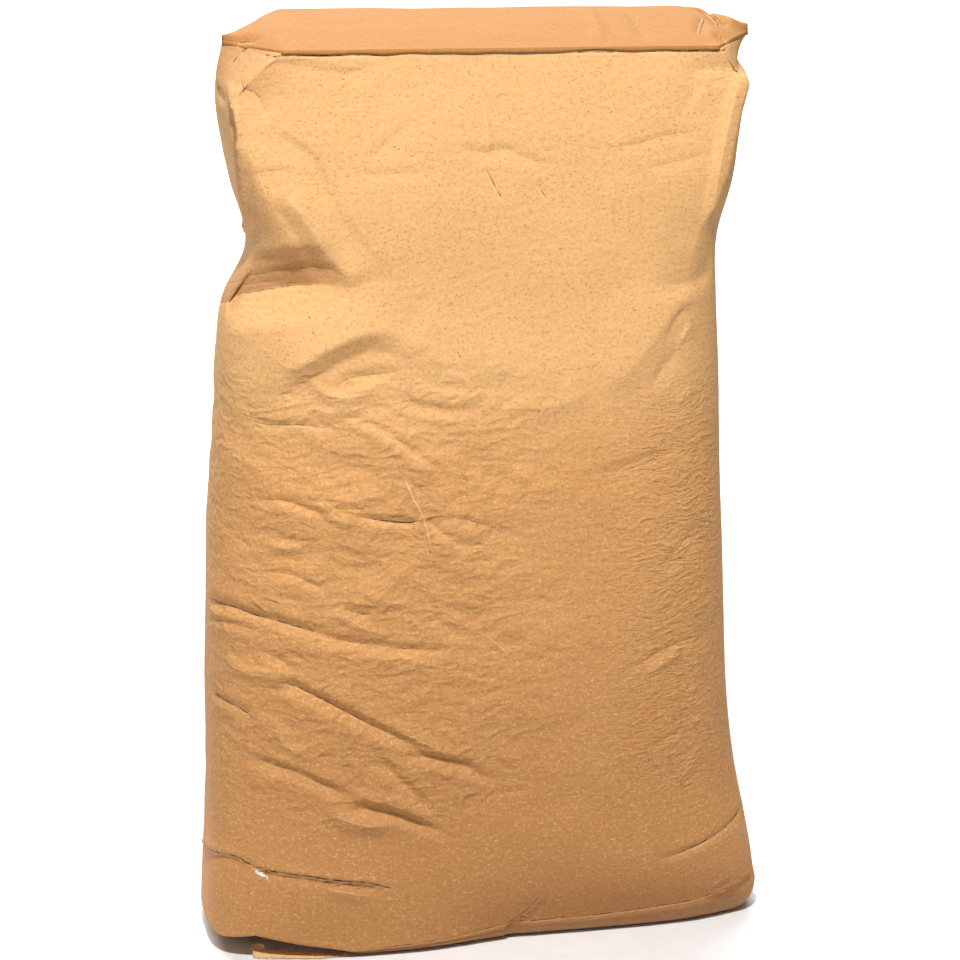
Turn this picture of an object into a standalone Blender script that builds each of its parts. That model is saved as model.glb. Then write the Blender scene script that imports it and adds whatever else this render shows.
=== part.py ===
"""Paper valve sack filled with fine quartz sand, standing on its bottom end.

Frame: +Z is up, +X runs to the right along the broad front, and the front
faces -Y. The origin lies on the floor under the middle of the sack. All
lengths are in metres.
"""

from dataclasses import dataclass
from math import pi, sin

import bmesh
import bpy
from mathutils import Vector

# Driving dimensions of the sack
SACK_HEIGHT = 0.565          # floor to the highest edge of the top end
HALF_WIDTH = 0.172           # middle to the outermost side of the sack
HALF_DEPTH = 0.075           # middle to the fullest part of the belly
PAPER_THICKNESS = 0.0005     # three plies of kraft paper
COVER_THICKNESS = 0.0004     # the sheet pasted over each end
CLEARANCE = 0.0003           # between pieces that lie on each other
SAND_CLEARANCE = 0.0007      # between the sand and the paper round it

# The folded top end is a long hexagon with a pointed ear at each side, uneven
# from corner to corner. Below it the sides are only a little crowned.
FRONT_LEFT_EAR = 0.028
FRONT_RIGHT_EAR = 0.032
BACK_LEFT_EAR = 0.042
BACK_RIGHT_EAR = 0.018
SIDE_CROWN = 0.005
FRONT_EAR_START = 0.955      # share of the height where an ear begins
BACK_EAR_START = 0.86
TOP_TILT_DEPTH = 0.11        # rise of the top end towards the back
TOP_TILT_WIDTH = -0.014      # rise of the top end towards the right
TOP_CROWN = 0.004
TILT_SHARPNESS = 6

# The bottom crease sags at the left and is lifted at the right of the front,
# as (place across the front, height over BOTTOM_CREASE_HEIGHT)
BOTTOM_CREASE_HEIGHT = 0.012
HEM = (
    (-0.170, 0.0000),
    (-0.150, 0.0045),
    (-0.120, -0.0022),
    (-0.090, -0.0068),
    (-0.030, -0.0040),
    (0.000, -0.0005),
    (0.060, 0.0005),
    (0.120, 0.0040),
    (0.150, 0.0085),
    (0.170, 0.0080),
)
HEM_REACH = 0.10             # share of the height where the hem's shape ends

# The underside curves in over this distance before it lies on the floor
UNDERSIDE_REACH = 0.014

# The front is tucked in at the foot of its right half
TUCK = 0.010
TUCK_REACH = 0.13            # share of the height where the tuck ends

# The sand has settled to this share of the sack's height
FILL_SHARE = 0.71
FILL_CROWN = 0.010

# The valve is a flat slit under the ear at the top left
VALVE_SLIT_HEIGHT = 0.0020

# A rounded section is a superellipse, squarer at the foot and at the head
BELLY_EXPONENT = 3.1
FOOT_EXPONENT = 4.6
HEAD_EXPONENT = 6.0
FOOT_REACH = 0.22

# The slack front hangs lower in its middle, where the sand has settled
SADDLE = 0.060

# Divisions of the sack's skin
WIDTH_STEPS = 26
DEPTH_STEPS = 8
WALL_ROWS = 34

# The cover sheets stop short of the creases, but the top one runs past the front
COVER_MARGIN = 0.025
TOP_COVER_OVERHANG = 0.0015

# The strip torn from the front edge of the bottom cover sheet, which has come
# loose and lies out on the floor, from its root to its free end at the left
STRIP_ROOT = -0.100
STRIP_END = -0.150
STRIP_WIDTH = 0.010
STRIP_FRONT = -0.065
STRIP_STEPS = 6

KRAFT_PAPER = (0.66, 0.40, 0.19, 1.0)
COVER_PAPER = (0.72, 0.46, 0.23, 1.0)
QUARTZ_SAND = (0.78, 0.70, 0.56, 1.0)


@dataclass(frozen=True)
class Level:
    """One level of the sack, with its reaches as shares of the half sizes."""

    height: float
    left: float
    right: float
    front: float
    back: float
    fullness: float

    def values(self):
        """Return the numbers that change from level to level."""
        return (self.left, self.right, self.front, self.back, self.fullness)


LEVELS = (
    Level(0.00, 1.010, 1.006, 0.880, 0.82, 1.00),
    Level(0.05, 1.005, 0.986, 0.950, 0.91, 1.00),
    Level(0.17, 0.990, 0.915, 1.000, 0.97, 1.00),
    Level(0.36, 0.978, 0.868, 0.990, 0.95, 1.00),
    Level(0.56, 0.945, 0.845, 0.970, 0.88, 1.00),
    Level(0.66, 0.924, 0.833, 0.920, 0.82, 0.97),
    Level(0.71, 0.900, 0.826, 0.860, 0.78, 0.90),
    Level(0.765, 0.814, 0.822, 0.790, 0.74, 0.75),
    Level(0.84, 0.860, 0.864, 0.720, 0.73, 0.50),
    Level(0.94, 0.915, 0.902, 0.625, 0.76, 0.15),
    Level(1.00, 0.882, 0.945, 0.580, 0.80, 0.00),
)


def smooth(low, high, value):
    """Return a smooth step from 0 at low to 1 at high."""
    t = min(max((value - low) / (high - low), 0.0), 1.0)
    return t * t * (3.0 - 2.0 * t)


def level_at(share):
    """Blend the levels smoothly at a share of the height, by cubic steps."""
    last = len(LEVELS) - 1
    index = next((i for i in range(last) if share <= LEVELS[i + 1].height), last - 1)
    low, high = LEVELS[index], LEVELS[index + 1]
    before, after = LEVELS[max(index - 1, 0)], LEVELS[min(index + 2, last)]
    span = high.height - low.height
    t = (share - low.height) / span
    blended = []
    for a, b, c, d in zip(before.values(), low.values(), high.values(), after.values()):
        slope_low = (c - a) / (high.height - before.height) * span
        slope_high = (d - b) / (after.height - low.height) * span
        value = (
            (2 * t**3 - 3 * t**2 + 1) * b
            + (t**3 - 2 * t**2 + t) * slope_low
            + (3 * t**2 - 2 * t**3) * c
            + (t**3 - t**2) * slope_high
        )
        blended.append(value)
    return Level(share, *blended)


def exponent_at(share):
    """Return how square a rounded section is at a share of the height."""
    foot = max(0.0, 1.0 - share / FOOT_REACH) ** 2
    head = smooth(0.78, 0.92, share)
    squareness = (FOOT_EXPONENT - BELLY_EXPONENT) * foot
    return BELLY_EXPONENT + squareness + (HEAD_EXPONENT - BELLY_EXPONENT) * head


def superellipse(distance, reach, other_reach, exponent):
    """Return how far a rounded section reaches sideways at a distance."""
    share = min(abs(distance) / reach, 1.0)
    return other_reach * (1.0 - share**exponent) ** (1.0 / exponent)


def ear_at(share, start, length):
    """Return how far the middle of a side stands out from a corner."""
    rise = max(0.0, (share - start) / (1.0 - start)) ** 1.2
    return SIDE_CROWN + (length - SIDE_CROWN) * rise


def sagged_front(share, t):
    """Return the front's reach at a share of its width, lower in the slack's middle."""
    dip = SADDLE * (1 - (2 * t - 1) ** 2)
    dip *= smooth(0.45, 0.60, share) * (1 - smooth(0.72, 0.92, share))
    return level_at(share + dip).front * HALF_DEPTH


def tuck_at(share):
    """Return how far the right half of the front is tucked in at its foot."""
    return TUCK * max(0.0, 1.0 - share / TUCK_REACH) ** 2


def ring_of(share):
    """Return the (x, y) outline of one level, from the left front corner round."""
    level = level_at(share)
    left, right = level.left * HALF_WIDTH, level.right * HALF_WIDTH
    front, back = level.front * HALF_DEPTH, level.back * HALF_DEPTH
    exponent = exponent_at(share)
    corner = 0.5 ** (1.0 / exponent)
    front_lengths = (FRONT_LEFT_EAR, FRONT_RIGHT_EAR)
    back_lengths = (BACK_LEFT_EAR, BACK_RIGHT_EAR)
    front_ears = [ear_at(share, FRONT_EAR_START, length) for length in front_lengths]
    back_ears = [ear_at(share, BACK_EAR_START, length) for length in back_lengths]

    def broad(step, facing):
        t = step / WIDTH_STEPS
        ears = front_ears if facing < 0 else back_ears
        folded_x = (ears[0] - left) * (1 - t) + (right - ears[1]) * t
        round_x = corner * (-left * (1 - t) + right * t)
        x = folded_x + (round_x - folded_x) * level.fullness
        depth = back
        if facing < 0:
            depth = sagged_front(share, t) - tuck_at(share) * smooth(-0.06, 0.03, x)
        rounded = superellipse(round_x, left if round_x < 0 else right, depth, exponent)
        return Vector((x, facing * (depth + (rounded - depth) * level.fullness)))

    def narrow(step, width_reach, facing):
        t = step / DEPTH_STEPS
        end = 0 if facing < 0 else 1
        ear = front_ears[end] if t < 0.5 else back_ears[end]
        near = front - tuck_at(share) * end
        inset = ear * abs(2 * t - 1) ** (1 + 8 * (1 - share))
        folded = Vector((facing * (width_reach - inset), -near * (1 - t) + back * t))
        y = corner * folded.y
        reach = near if y < 0 else back
        rounded = Vector((facing * superellipse(y, reach, width_reach, exponent), y))
        return folded.lerp(rounded, level.fullness)

    points = [broad(i, -1) for i in range(WIDTH_STEPS)]
    points += [narrow(j, right, 1) for j in range(DEPTH_STEPS)]
    points += [broad(WIDTH_STEPS - i, 1) for i in range(WIDTH_STEPS)]
    points += [narrow(DEPTH_STEPS - j, left, -1) for j in range(DEPTH_STEPS)]
    return points


TOP_CREASE_HEIGHT = SACK_HEIGHT - 0.014
BODY_HEIGHT = TOP_CREASE_HEIGHT - BOTTOM_CREASE_HEIGHT


def tilted(x, y, z):
    """Tilt the upper levels, so that the top end slopes down to the front left."""
    lift = (z / TOP_CREASE_HEIGHT) ** TILT_SHARPNESS
    return Vector((x, y, z + lift * (TOP_TILT_DEPTH * y + TOP_TILT_WIDTH * x)))


def hem_lift(x, y):
    """Return how far the bottom crease is lifted at a place along it."""
    front = 1.0 - smooth(-0.04, 0.02, y)
    if x <= HEM[0][0]:
        return front * HEM[0][1]
    for (low, low_lift), (high, high_lift) in zip(HEM, HEM[1:]):
        if x <= high:
            return front * (low_lift + (high_lift - low_lift) * (x - low) / (high - low))
    return front * HEM[-1][1]


def wall_rows():
    """Return the rings of the wall, bottom crease first and top crease last."""
    shares = [row / WALL_ROWS for row in range(WALL_ROWS)]
    shares += [1.0 - VALVE_SLIT_HEIGHT / BODY_HEIGHT, 1.0]
    rows = []
    for share in shares:
        z = BOTTOM_CREASE_HEIGHT + share * BODY_HEIGHT
        hem = max(0.0, 1.0 - share / HEM_REACH) ** 2
        row = []
        for point in ring_of(share):
            placed = tilted(point.x, point.y, z)
            placed.z += hem * hem_lift(point.x, point.y)
            row.append(placed)
        rows.append(row)
    return rows


def end_grid(ring):
    """Fill a ring with a grid of points blended from its four sides."""
    right_start = WIDTH_STEPS
    back_start = WIDTH_STEPS + DEPTH_STEPS
    count = len(ring)
    front = ring[: WIDTH_STEPS + 1]
    right = ring[right_start : back_start + 1]
    back = [ring[back_start + WIDTH_STEPS - i] for i in range(WIDTH_STEPS + 1)]
    left = [ring[(count - j) % count] for j in range(DEPTH_STEPS + 1)]
    grid = []
    for j in range(DEPTH_STEPS + 1):
        v = j / DEPTH_STEPS
        line = []
        for i in range(WIDTH_STEPS + 1):
            u = i / WIDTH_STEPS
            sides = front[i] * (1 - v) + back[i] * v + left[j] * (1 - u) + right[j] * u
            corners = (front[0] * (1 - u) + front[-1] * u) * (1 - v)
            corners += (back[0] * (1 - u) + back[-1] * u) * v
            line.append(sides - corners)
        grid.append(line)
    return grid


def crowned(grid, height):
    """Raise the middle of a grid by the given height."""
    for j, line in enumerate(grid):
        for i, point in enumerate(line):
            u, v = 2 * i / WIDTH_STEPS - 1, 2 * j / DEPTH_STEPS - 1
            point.z += height * (1 - u**4) * (1 - v**2)
    return grid


def underside(ring, level):
    """Fill the bottom ring with a grid that curves in and lies at one level."""
    grid = end_grid(ring)
    front, back = grid[0], grid[-1]
    for line in grid[1:-1]:
        left, right = line[0], line[-1]
        for i, point in enumerate(line[1:-1], start=1):
            shares = (
                ((point.y - front[i].y) / UNDERSIDE_REACH, front[i].z),
                ((back[i].y - point.y) / UNDERSIDE_REACH, back[i].z),
                ((point.x - left.x) / UNDERSIDE_REACH, left.z),
                ((right.x - point.x) / UNDERSIDE_REACH, right.z),
            )
            share, crease = min(shares)
            fall = 1.0 - sin(min(share, 1.0) * pi / 2)
            point.z = level + (crease - level) * fall
    return grid


def add_grid_faces(mesh, lines, upward):
    """Add the faces of a grid of vertices, facing up or down."""
    for low, high in zip(lines, lines[1:]):
        for i in range(len(low) - 1):
            face = [low[i], low[i + 1], high[i + 1], high[i]]
            mesh.faces.new(face if upward else face[::-1])


def grid_vertices(mesh, grid, border):
    """Make the inner vertices of a grid and take its border from a ring."""
    count = len(border)
    lines = []
    for j, line in enumerate(grid):
        made = []
        for i, point in enumerate(line):
            if j == 0:
                made.append(border[i])
            elif j == DEPTH_STEPS:
                made.append(border[2 * WIDTH_STEPS + DEPTH_STEPS - i])
            elif i == 0:
                made.append(border[count - j])
            elif i == WIDTH_STEPS:
                made.append(border[WIDTH_STEPS + j])
            else:
                made.append(mesh.verts.new(point))
        lines.append(made)
    return lines


def skin(rows, top_grid, with_valve):
    """Make the closed outer skin of the sack, or of what fills it, up to a row."""
    mesh = bmesh.new()
    rings = [[mesh.verts.new(point) for point in row] for row in rows]
    count = len(rings[0])
    ear_front_half = range(count - DEPTH_STEPS // 2, count)
    for level, (low, high) in enumerate(zip(rings, rings[1:])):
        for i in range(count):
            is_slit = with_valve and level == len(rings) - 2 and i in ear_front_half
            if not is_slit:
                k = (i + 1) % count
                mesh.faces.new([low[i], low[k], high[k], high[i]])
    bottom = underside(rows[0], COVER_THICKNESS + CLEARANCE)
    add_grid_faces(mesh, grid_vertices(mesh, bottom, rings[0]), upward=False)
    add_grid_faces(mesh, grid_vertices(mesh, top_grid, rings[-1]), upward=True)
    mesh.normal_update()
    return mesh


def shrink(mesh, distance):
    """Move every vertex inwards, so that all faces move by the distance."""
    moves = [vertex.normal * distance * vertex.calc_shell_factor() for vertex in mesh.verts]
    for vertex, move in zip(mesh.verts, moves):
        vertex.co -= move


def finish(name, mesh, material):
    """Turn a bmesh into a named object with its material."""
    data = bpy.data.meshes.new(name)
    mesh.to_mesh(data)
    mesh.free()
    data.shade_smooth()
    data.set_sharp_from_angle(angle=0.7)
    data.materials.append(material)
    thing = bpy.data.objects.new(name, data)
    bpy.context.scene.collection.objects.link(thing)
    return thing


def thicken(thing, thickness, side):
    """Give a sheet its thickness, inwards (-1) or outwards (1) of its face."""
    solidify = thing.modifiers.new("thickness", "SOLIDIFY")
    solidify.thickness = thickness
    solidify.offset = side
    solidify.use_even_offset = True


def material(name, colour, roughness):
    """Make a plain non-metal finish."""
    finish_material = bpy.data.materials.new(name)
    finish_material.use_nodes = True
    shader = finish_material.node_tree.nodes["Principled BSDF"]
    shader.inputs["Base Color"].default_value = colour
    shader.inputs["Roughness"].default_value = roughness
    shader.inputs["Metallic"].default_value = 0.0
    return finish_material


def build_sack(rows, kraft):
    """Build the paper tube with its folded ends, open only at the valve slit."""
    top = crowned(end_grid(rows[-1]), TOP_CROWN)
    sack = finish("paper_sack", skin(rows, top, with_valve=True), kraft)
    thicken(sack, PAPER_THICKNESS, -1)
    return sack


def build_sand(rows, sand):
    """Build the settled sand, which fills the lower part of the sack."""
    filled = rows[: round(FILL_SHARE * WALL_ROWS) + 1]
    top = crowned(end_grid(filled[-1]), FILL_CROWN)
    mesh = skin(filled, top, with_valve=False)
    shrink(mesh, PAPER_THICKNESS + SAND_CLEARANCE)
    return finish("sand_fill", mesh, sand)


def build_top_cover(rows, paper):
    """Build the sheet pasted over the top end, with its front edge standing proud."""
    grid = crowned(end_grid(rows[-1]), TOP_CROWN)
    centre = grid[DEPTH_STEPS // 2][WIDTH_STEPS // 2].copy()
    for j, line in enumerate(grid):
        for i, point in enumerate(line):
            line[i] = point.lerp(centre, COVER_MARGIN)
        if j == 0:
            for point in line:
                point.y -= TOP_COVER_OVERHANG + COVER_MARGIN * abs(point.y)
    mesh = bmesh.new()
    lines = [[mesh.verts.new(point + Vector((0, 0, CLEARANCE * 1.5))) for point in line] for line in grid]
    add_grid_faces(mesh, lines, upward=True)
    cover = finish("top_cover_sheet", mesh, paper)
    thicken(cover, COVER_THICKNESS, 1)
    return cover


def build_bottom_cover(rows, paper):
    """Build the sheet pasted under the bottom end, with its loose torn strip."""
    flat = [line[3:-2] for line in underside(rows[0], COVER_THICKNESS + CLEARANCE)[1:-1]]
    below = Vector((0, 0, -CLEARANCE))
    mesh = bmesh.new()
    lines = [[mesh.verts.new(point + below) for point in line] for line in flat]
    add_grid_faces(mesh, lines, upward=True)
    root = [v for v in lines[0] if v.co.x > STRIP_ROOT][:2]
    outer, inner = [root[1]], [root[0]]
    for step in range(STRIP_STEPS + 1):
        along = step / STRIP_STEPS
        x = root[1].co.x * (1 - along) + STRIP_END * along
        inner_x = max(STRIP_END, min(x, root[0].co.x))
        outer.append(mesh.verts.new((x, STRIP_FRONT, COVER_THICKNESS)))
        inner.append(mesh.verts.new((inner_x, STRIP_FRONT + STRIP_WIDTH, COVER_THICKNESS)))
    add_grid_faces(mesh, [outer, inner], upward=False)
    cover = finish("bottom_cover_sheet", mesh, paper)
    thicken(cover, COVER_THICKNESS, -1)
    return cover


def clear_scene():
    """Remove every object that the scene starts with."""
    for thing in list(bpy.data.objects):
        bpy.data.objects.remove(thing, do_unlink=True)


def main():
    """Build the sack, its two cover sheets and the sand in it."""
    clear_scene()
    kraft = material("kraft_paper", KRAFT_PAPER, 0.85)
    cover_paper = material("cover_paper", COVER_PAPER, 0.85)
    sand = material("quartz_sand", QUARTZ_SAND, 0.95)
    rows = wall_rows()
    build_sack(rows, kraft)
    build_sand(rows, sand)
    build_top_cover(rows, cover_paper)
    build_bottom_cover(rows, cover_paper)


main()
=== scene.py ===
"""Dressed model of a filled paper valve sack of quartz sand.

The sack stands on its bottom end. The sand has settled into the lower part,
and the paper above it is slack, pinched at a neck and folded into the block
end at the top. Everything is in metres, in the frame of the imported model:
+Z is up, +X runs to the right along the broad front, the front faces -Y.
"""

import logging
from dataclasses import dataclass, field
from enum import Enum
from math import atan, cos, pi, radians, sin, tan
from typing import Any, Sequence

import bpy
import numpy as np
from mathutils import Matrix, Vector, noise
from mathutils.bvhtree import BVHTree

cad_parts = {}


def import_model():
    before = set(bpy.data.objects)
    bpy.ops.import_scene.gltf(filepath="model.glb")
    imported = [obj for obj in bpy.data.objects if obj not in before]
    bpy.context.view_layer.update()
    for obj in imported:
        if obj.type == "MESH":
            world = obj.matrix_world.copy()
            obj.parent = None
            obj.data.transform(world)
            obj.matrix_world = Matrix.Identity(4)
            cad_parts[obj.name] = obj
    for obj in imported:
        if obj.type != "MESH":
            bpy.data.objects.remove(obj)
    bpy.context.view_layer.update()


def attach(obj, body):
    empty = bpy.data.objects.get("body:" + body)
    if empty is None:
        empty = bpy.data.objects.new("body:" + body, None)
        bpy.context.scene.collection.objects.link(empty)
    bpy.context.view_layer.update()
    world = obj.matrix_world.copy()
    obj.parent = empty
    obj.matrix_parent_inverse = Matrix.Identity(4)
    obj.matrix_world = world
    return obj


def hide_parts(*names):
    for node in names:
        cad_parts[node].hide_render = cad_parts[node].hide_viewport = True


LOG = logging.getLogger("sand_sack")

MM = 0.001
PHOTO_SIZE = 960
BODY = "root"
FOLD_REACH = 0.12

Array = np.ndarray
Pixels = Sequence[tuple[float, float]]


def smooth(low: float, high: float, value: Array) -> Array:
    """Return a smooth step from 0 at low to 1 at high."""
    t = np.clip((value - low) / (high - low), 0.0, 1.0)
    return t * t * (3.0 - 2.0 * t)


def noise_at(points: Array, scale: Sequence[float], seed: float) -> Array:
    """Return smooth noise at points.

    Args:
        points: The places, one row each, in metres.
        scale: How many noise cells fit in a metre along X, Y and Z.
        seed: An offset that picks another part of the same noise.

    Returns:
        One value for each point, between about -1 and 1.
    """
    scaled = points * np.asarray(scale) + seed
    return np.array([noise.noise(Vector(point)) for point in scaled])


@dataclass(frozen=True)
class PhotoView:
    """The camera that took the photograph, and its pixels."""

    azimuth: float = radians(-11.5)
    distance: float = 2.0
    height: float = 0.80
    target_height: float = 0.2785
    target_side: float = 0.0
    field_of_view: float = radians(16.09)
    sensor: float = 36.0

    @property
    def place(self) -> Vector:
        """Return where the camera stands."""
        across, away = sin(self.azimuth), -cos(self.azimuth)
        return Vector((self.distance * across, self.distance * away, self.height))

    @property
    def axes(self) -> tuple[Vector, Vector, Vector]:
        """Return the right, up and forward directions of the picture."""
        side = Vector((cos(self.azimuth), sin(self.azimuth), 0.0))
        target = side * self.target_side + Vector((0.0, 0.0, self.target_height))
        forward = (target - self.place).normalized()
        right = forward.cross(Vector((0.0, 0.0, 1.0))).normalized()
        return right, right.cross(forward), forward

    @property
    def pixels_per_slope(self) -> float:
        """Return how many pixels a ray moves for a slope of one."""
        return PHOTO_SIZE / 2 / tan(self.field_of_view / 2)

    def ray(self, pixel: tuple[float, float]) -> Vector:
        """Return the direction of the ray through a pixel."""
        right, up, forward = self.axes
        across = (pixel[0] - PHOTO_SIZE / 2) / self.pixels_per_slope
        upward = (PHOTO_SIZE / 2 - pixel[1]) / self.pixels_per_slope
        return (forward + right * across + up * upward).normalized()

    def project(self, points: Array) -> Array:
        """Return the pixels of points in space."""
        right, up, forward = (np.array(axis) for axis in self.axes)
        offset = points - np.array(self.place)
        depth = offset @ forward
        across = offset @ right / depth * self.pixels_per_slope + PHOTO_SIZE / 2
        down = PHOTO_SIZE / 2 - offset @ up / depth * self.pixels_per_slope
        return np.stack([across, down], axis=-1)

    def build(self) -> bpy.types.Object:
        """Make the camera and hand it to the scene."""
        data = bpy.data.cameras.new("photo_camera")
        data.sensor_width = self.sensor
        data.lens = self.sensor / 2 / tan(self.field_of_view / 2)
        camera = bpy.data.objects.new("photo_camera", data)
        camera.location = self.place
        camera.rotation_mode = "QUATERNION"
        camera.rotation_quaternion = self.axes[2].to_track_quat("-Z", "Y")
        bpy.context.scene.collection.objects.link(camera)
        bpy.context.scene.camera = camera
        return camera


@dataclass(frozen=True)
class Level:
    """One level of the sack, its reaches given as shares of the half sizes."""

    height: float
    left: float
    right: float
    front: float
    back: float
    fullness: float

    def values(self) -> tuple[float, ...]:
        """Return the numbers that change from level to level."""
        return (self.left, self.right, self.front, self.back, self.fullness)


LEVELS = (
    Level(0.00, 1.010, 1.006, 0.880, 0.82, 1.00),
    Level(0.05, 1.005, 0.986, 0.950, 0.91, 1.00),
    Level(0.17, 0.990, 0.915, 1.000, 0.97, 1.00),
    Level(0.36, 0.978, 0.868, 0.990, 0.95, 1.00),
    Level(0.56, 0.945, 0.845, 0.970, 0.88, 1.00),
    Level(0.66, 0.924, 0.833, 0.920, 0.82, 0.97),
    Level(0.71, 0.900, 0.826, 0.860, 0.78, 0.90),
    Level(0.765, 0.814, 0.822, 0.790, 0.74, 0.75),
    Level(0.84, 0.860, 0.864, 0.720, 0.73, 0.50),
    Level(0.94, 0.915, 0.905, 0.625, 0.76, 0.15),
    Level(1.00, 0.882, 0.962, 0.580, 0.80, 0.00),
)

HEM_PLACES = (-0.170, -0.150, -0.120, -0.090, -0.030, 0.000, 0.060, 0.120, 0.150, 0.170)
HEM_LIFTS = (0.000, 0.0045, -0.0022, -0.0068, -0.0040, -0.0005, 0.0005, 0.0040, 0.0085, 0.0080)


@dataclass(frozen=True)
class SackForm:
    """The smooth form of the sack, without its folds.

    The form is a stack of rings. A ring at the two ends is the long hexagon
    of a folded block end, and a ring in the belly is a superellipse.
    """

    half_width: float
    half_depth: float
    bottom_crease: float
    top_crease: float
    belly_exponent: float = 3.1
    foot_exponent: float = 4.6
    head_exponent: float = 6.0
    front_left_ear: float = 0.028
    front_right_ear: float = 0.032
    back_right_ear: float = 0.018
    back_left_ear: float = 0.042
    left_droop: float = 0.006
    right_droop: float = 0.003
    side_crown: float = 0.005
    front_ear_start: float = 0.955
    back_ear_start: float = 0.86
    tilt_depth: float = 0.11
    tilt_width: float = -0.014
    tilt_sharpness: float = 6.0
    saddle: float = 0.060
    saddle_low: float = 0.45
    saddle_high: float = 0.92
    hem_reach: float = 0.10
    foot_reach: float = 0.22
    tuck: float = 0.010
    tuck_reach: float = 0.13

    def level_values(self, shares: Array) -> Array:
        """Blend the levels smoothly, by cubic steps.

        Args:
            shares: Shares of the body's height, 0 at the bottom crease.

        Returns:
            One row of level values for each share.
        """
        heights = np.array([level.height for level in LEVELS])
        table = np.array([level.values() for level in LEVELS])
        slopes = np.gradient(table, heights, axis=0)
        index = np.clip(np.searchsorted(heights, shares, side="right") - 1, 0, len(LEVELS) - 2)
        span = (heights[index + 1] - heights[index])[..., None]
        t = (shares - heights[index])[..., None] / span
        return (
            (2 * t**3 - 3 * t**2 + 1) * table[index]
            + (t**3 - 2 * t**2 + t) * slopes[index] * span
            + (3 * t**2 - 2 * t**3) * table[index + 1]
            + (t**3 - t**2) * slopes[index + 1] * span
        )

    def exponent(self, share: float) -> float:
        """Return how square a rounded section is at a share of the height."""
        foot = max(0.0, 1.0 - share / self.foot_reach) ** 2
        head = float(smooth(0.78, 0.92, np.array(share)))
        power = self.belly_exponent + (self.foot_exponent - self.belly_exponent) * foot
        return power + (self.head_exponent - self.belly_exponent) * head

    def ear(self, share: float, start: float, length: float) -> float:
        """Return how far the middle of a side stands out from a corner."""
        rise = max(0.0, (share - start) / (1.0 - start)) ** 1.2
        return self.side_crown + (length - self.side_crown) * rise

    def droop(self, share: float, outline: Array, left: float, right: float) -> Array:
        """Return how far the tips of the top end hang down."""
        rise = max(0.0, (share - self.front_ear_start) / (1.0 - self.front_ear_start))
        x = outline[:, 0]
        at_left = np.clip((self.front_left_ear - left - x) / self.front_left_ear, 0.0, 1.0)
        at_right = np.clip((x - right + self.front_right_ear) / self.front_right_ear, 0.0, 1.0)
        return rise * (self.left_droop * at_left + self.right_droop * at_right)

    def hem(self, x: Array, y: Array) -> Array:
        """Return how far the bottom crease is lifted at places along it."""
        front = 1.0 - smooth(-0.04, 0.02, y)
        return front * np.interp(x, HEM_PLACES, HEM_LIFTS)

    def ring(self, share: float, front_steps: int, side_steps: int, back_steps: int) -> Array:
        """Return the outline of one level.

        Args:
            share: The level's share of the body's height.
            front_steps: Steps along the front.
            side_steps: Steps along each side.
            back_steps: Steps along the back.

        Returns:
            The points from the left front corner, round by the right.
        """
        left, right, front, back, fullness = self.level_values(np.array([share]))[0]
        left, right = left * self.half_width, right * self.half_width
        front, back = front * self.half_depth, back * self.half_depth
        front_ears = [
            self.ear(share, self.front_ear_start, length)
            for length in (self.front_left_ear, self.front_right_ear)
        ]
        back_ears = [
            self.ear(share, self.back_ear_start, length)
            for length in (self.back_left_ear, self.back_right_ear)
        ]
        power = self.exponent(share)
        corner = 0.5 ** (1.0 / power)

        def oval(distance: Array, reach: Array, other_reach: Array) -> Array:
            """Return how far the superellipse reaches sideways at a distance."""
            part = np.clip(np.abs(distance) / reach, 0.0, 1.0)
            return other_reach * (1.0 - part**power) ** (1.0 / power)

        def along(steps: int, ears: Sequence[float]) -> tuple[Array, Array, Array]:
            """Return the places along a broad side, on the oval and blended."""
            t = np.arange(steps + 1) / steps
            x_round = corner * (-left * (1 - t) + right * t)
            x_straight = (ears[0] - left) * (1 - t) + (right - ears[1]) * t
            return t, x_round, (1 - fullness) * x_straight + fullness * x_round

        t, x_round, x_front = along(front_steps, front_ears)
        dip = self.saddle * (1 - (2 * t - 1) ** 2)
        dip *= float(smooth(self.saddle_low, 0.60, np.array(share)))
        dip *= 1.0 - float(smooth(0.72, self.saddle_high, np.array(share)))
        front_here = self.level_values(share + dip)[:, 2] * self.half_depth
        reach = np.where(x_round < 0, left, right)
        tucked = self.tuck * max(0.0, 1.0 - share / self.tuck_reach) ** 2
        front_here -= tucked * smooth(-0.06, 0.03, x_front)
        y_front = -((1 - fullness) * front_here + fullness * oval(x_round, reach, front_here))
        _, x_round, x_back = along(back_steps, back_ears)
        reach = np.where(x_round < 0, left, right)
        y_back = (1 - fullness) * back + fullness * oval(x_round, reach, back)
        s = np.arange(side_steps + 1) / side_steps
        bend = np.abs(2 * s - 1) ** (1.0 + (1.0 - share) * 8)
        sides = []
        for width, end in ((right, 1), (left, 0)):
            near = front - tucked * end
            y_straight = -near * (1 - s) + back * s
            y_round = corner * y_straight
            reach = np.where(y_round < 0, near, back)
            inset = np.where(s < 0.5, front_ears[end], back_ears[end]) * bend
            rounded = oval(y_round, reach, np.full_like(y_round, width))
            x = (1 - fullness) * (width - inset) + fullness * rounded
            y = (1 - fullness) * y_straight + fullness * y_round
            sides.append(np.stack([x, y], axis=1))
        z = self.bottom_crease + share * (self.top_crease - self.bottom_crease)
        outline = np.concatenate(
            [
                np.stack([x_front, y_front], axis=1)[:-1],
                sides[0][:-1],
                np.stack([x_back, y_back], axis=1)[:0:-1],
                (sides[1] * (-1.0, 1.0))[:0:-1],
            ]
        )
        lift = (z / self.top_crease) ** self.tilt_sharpness
        height = z + lift * (self.tilt_depth * outline[:, 1] + self.tilt_width * outline[:, 0])
        height += self.hem(outline[:, 0], outline[:, 1]) * max(0.0, 1.0 - share / self.hem_reach) ** 2
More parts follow.
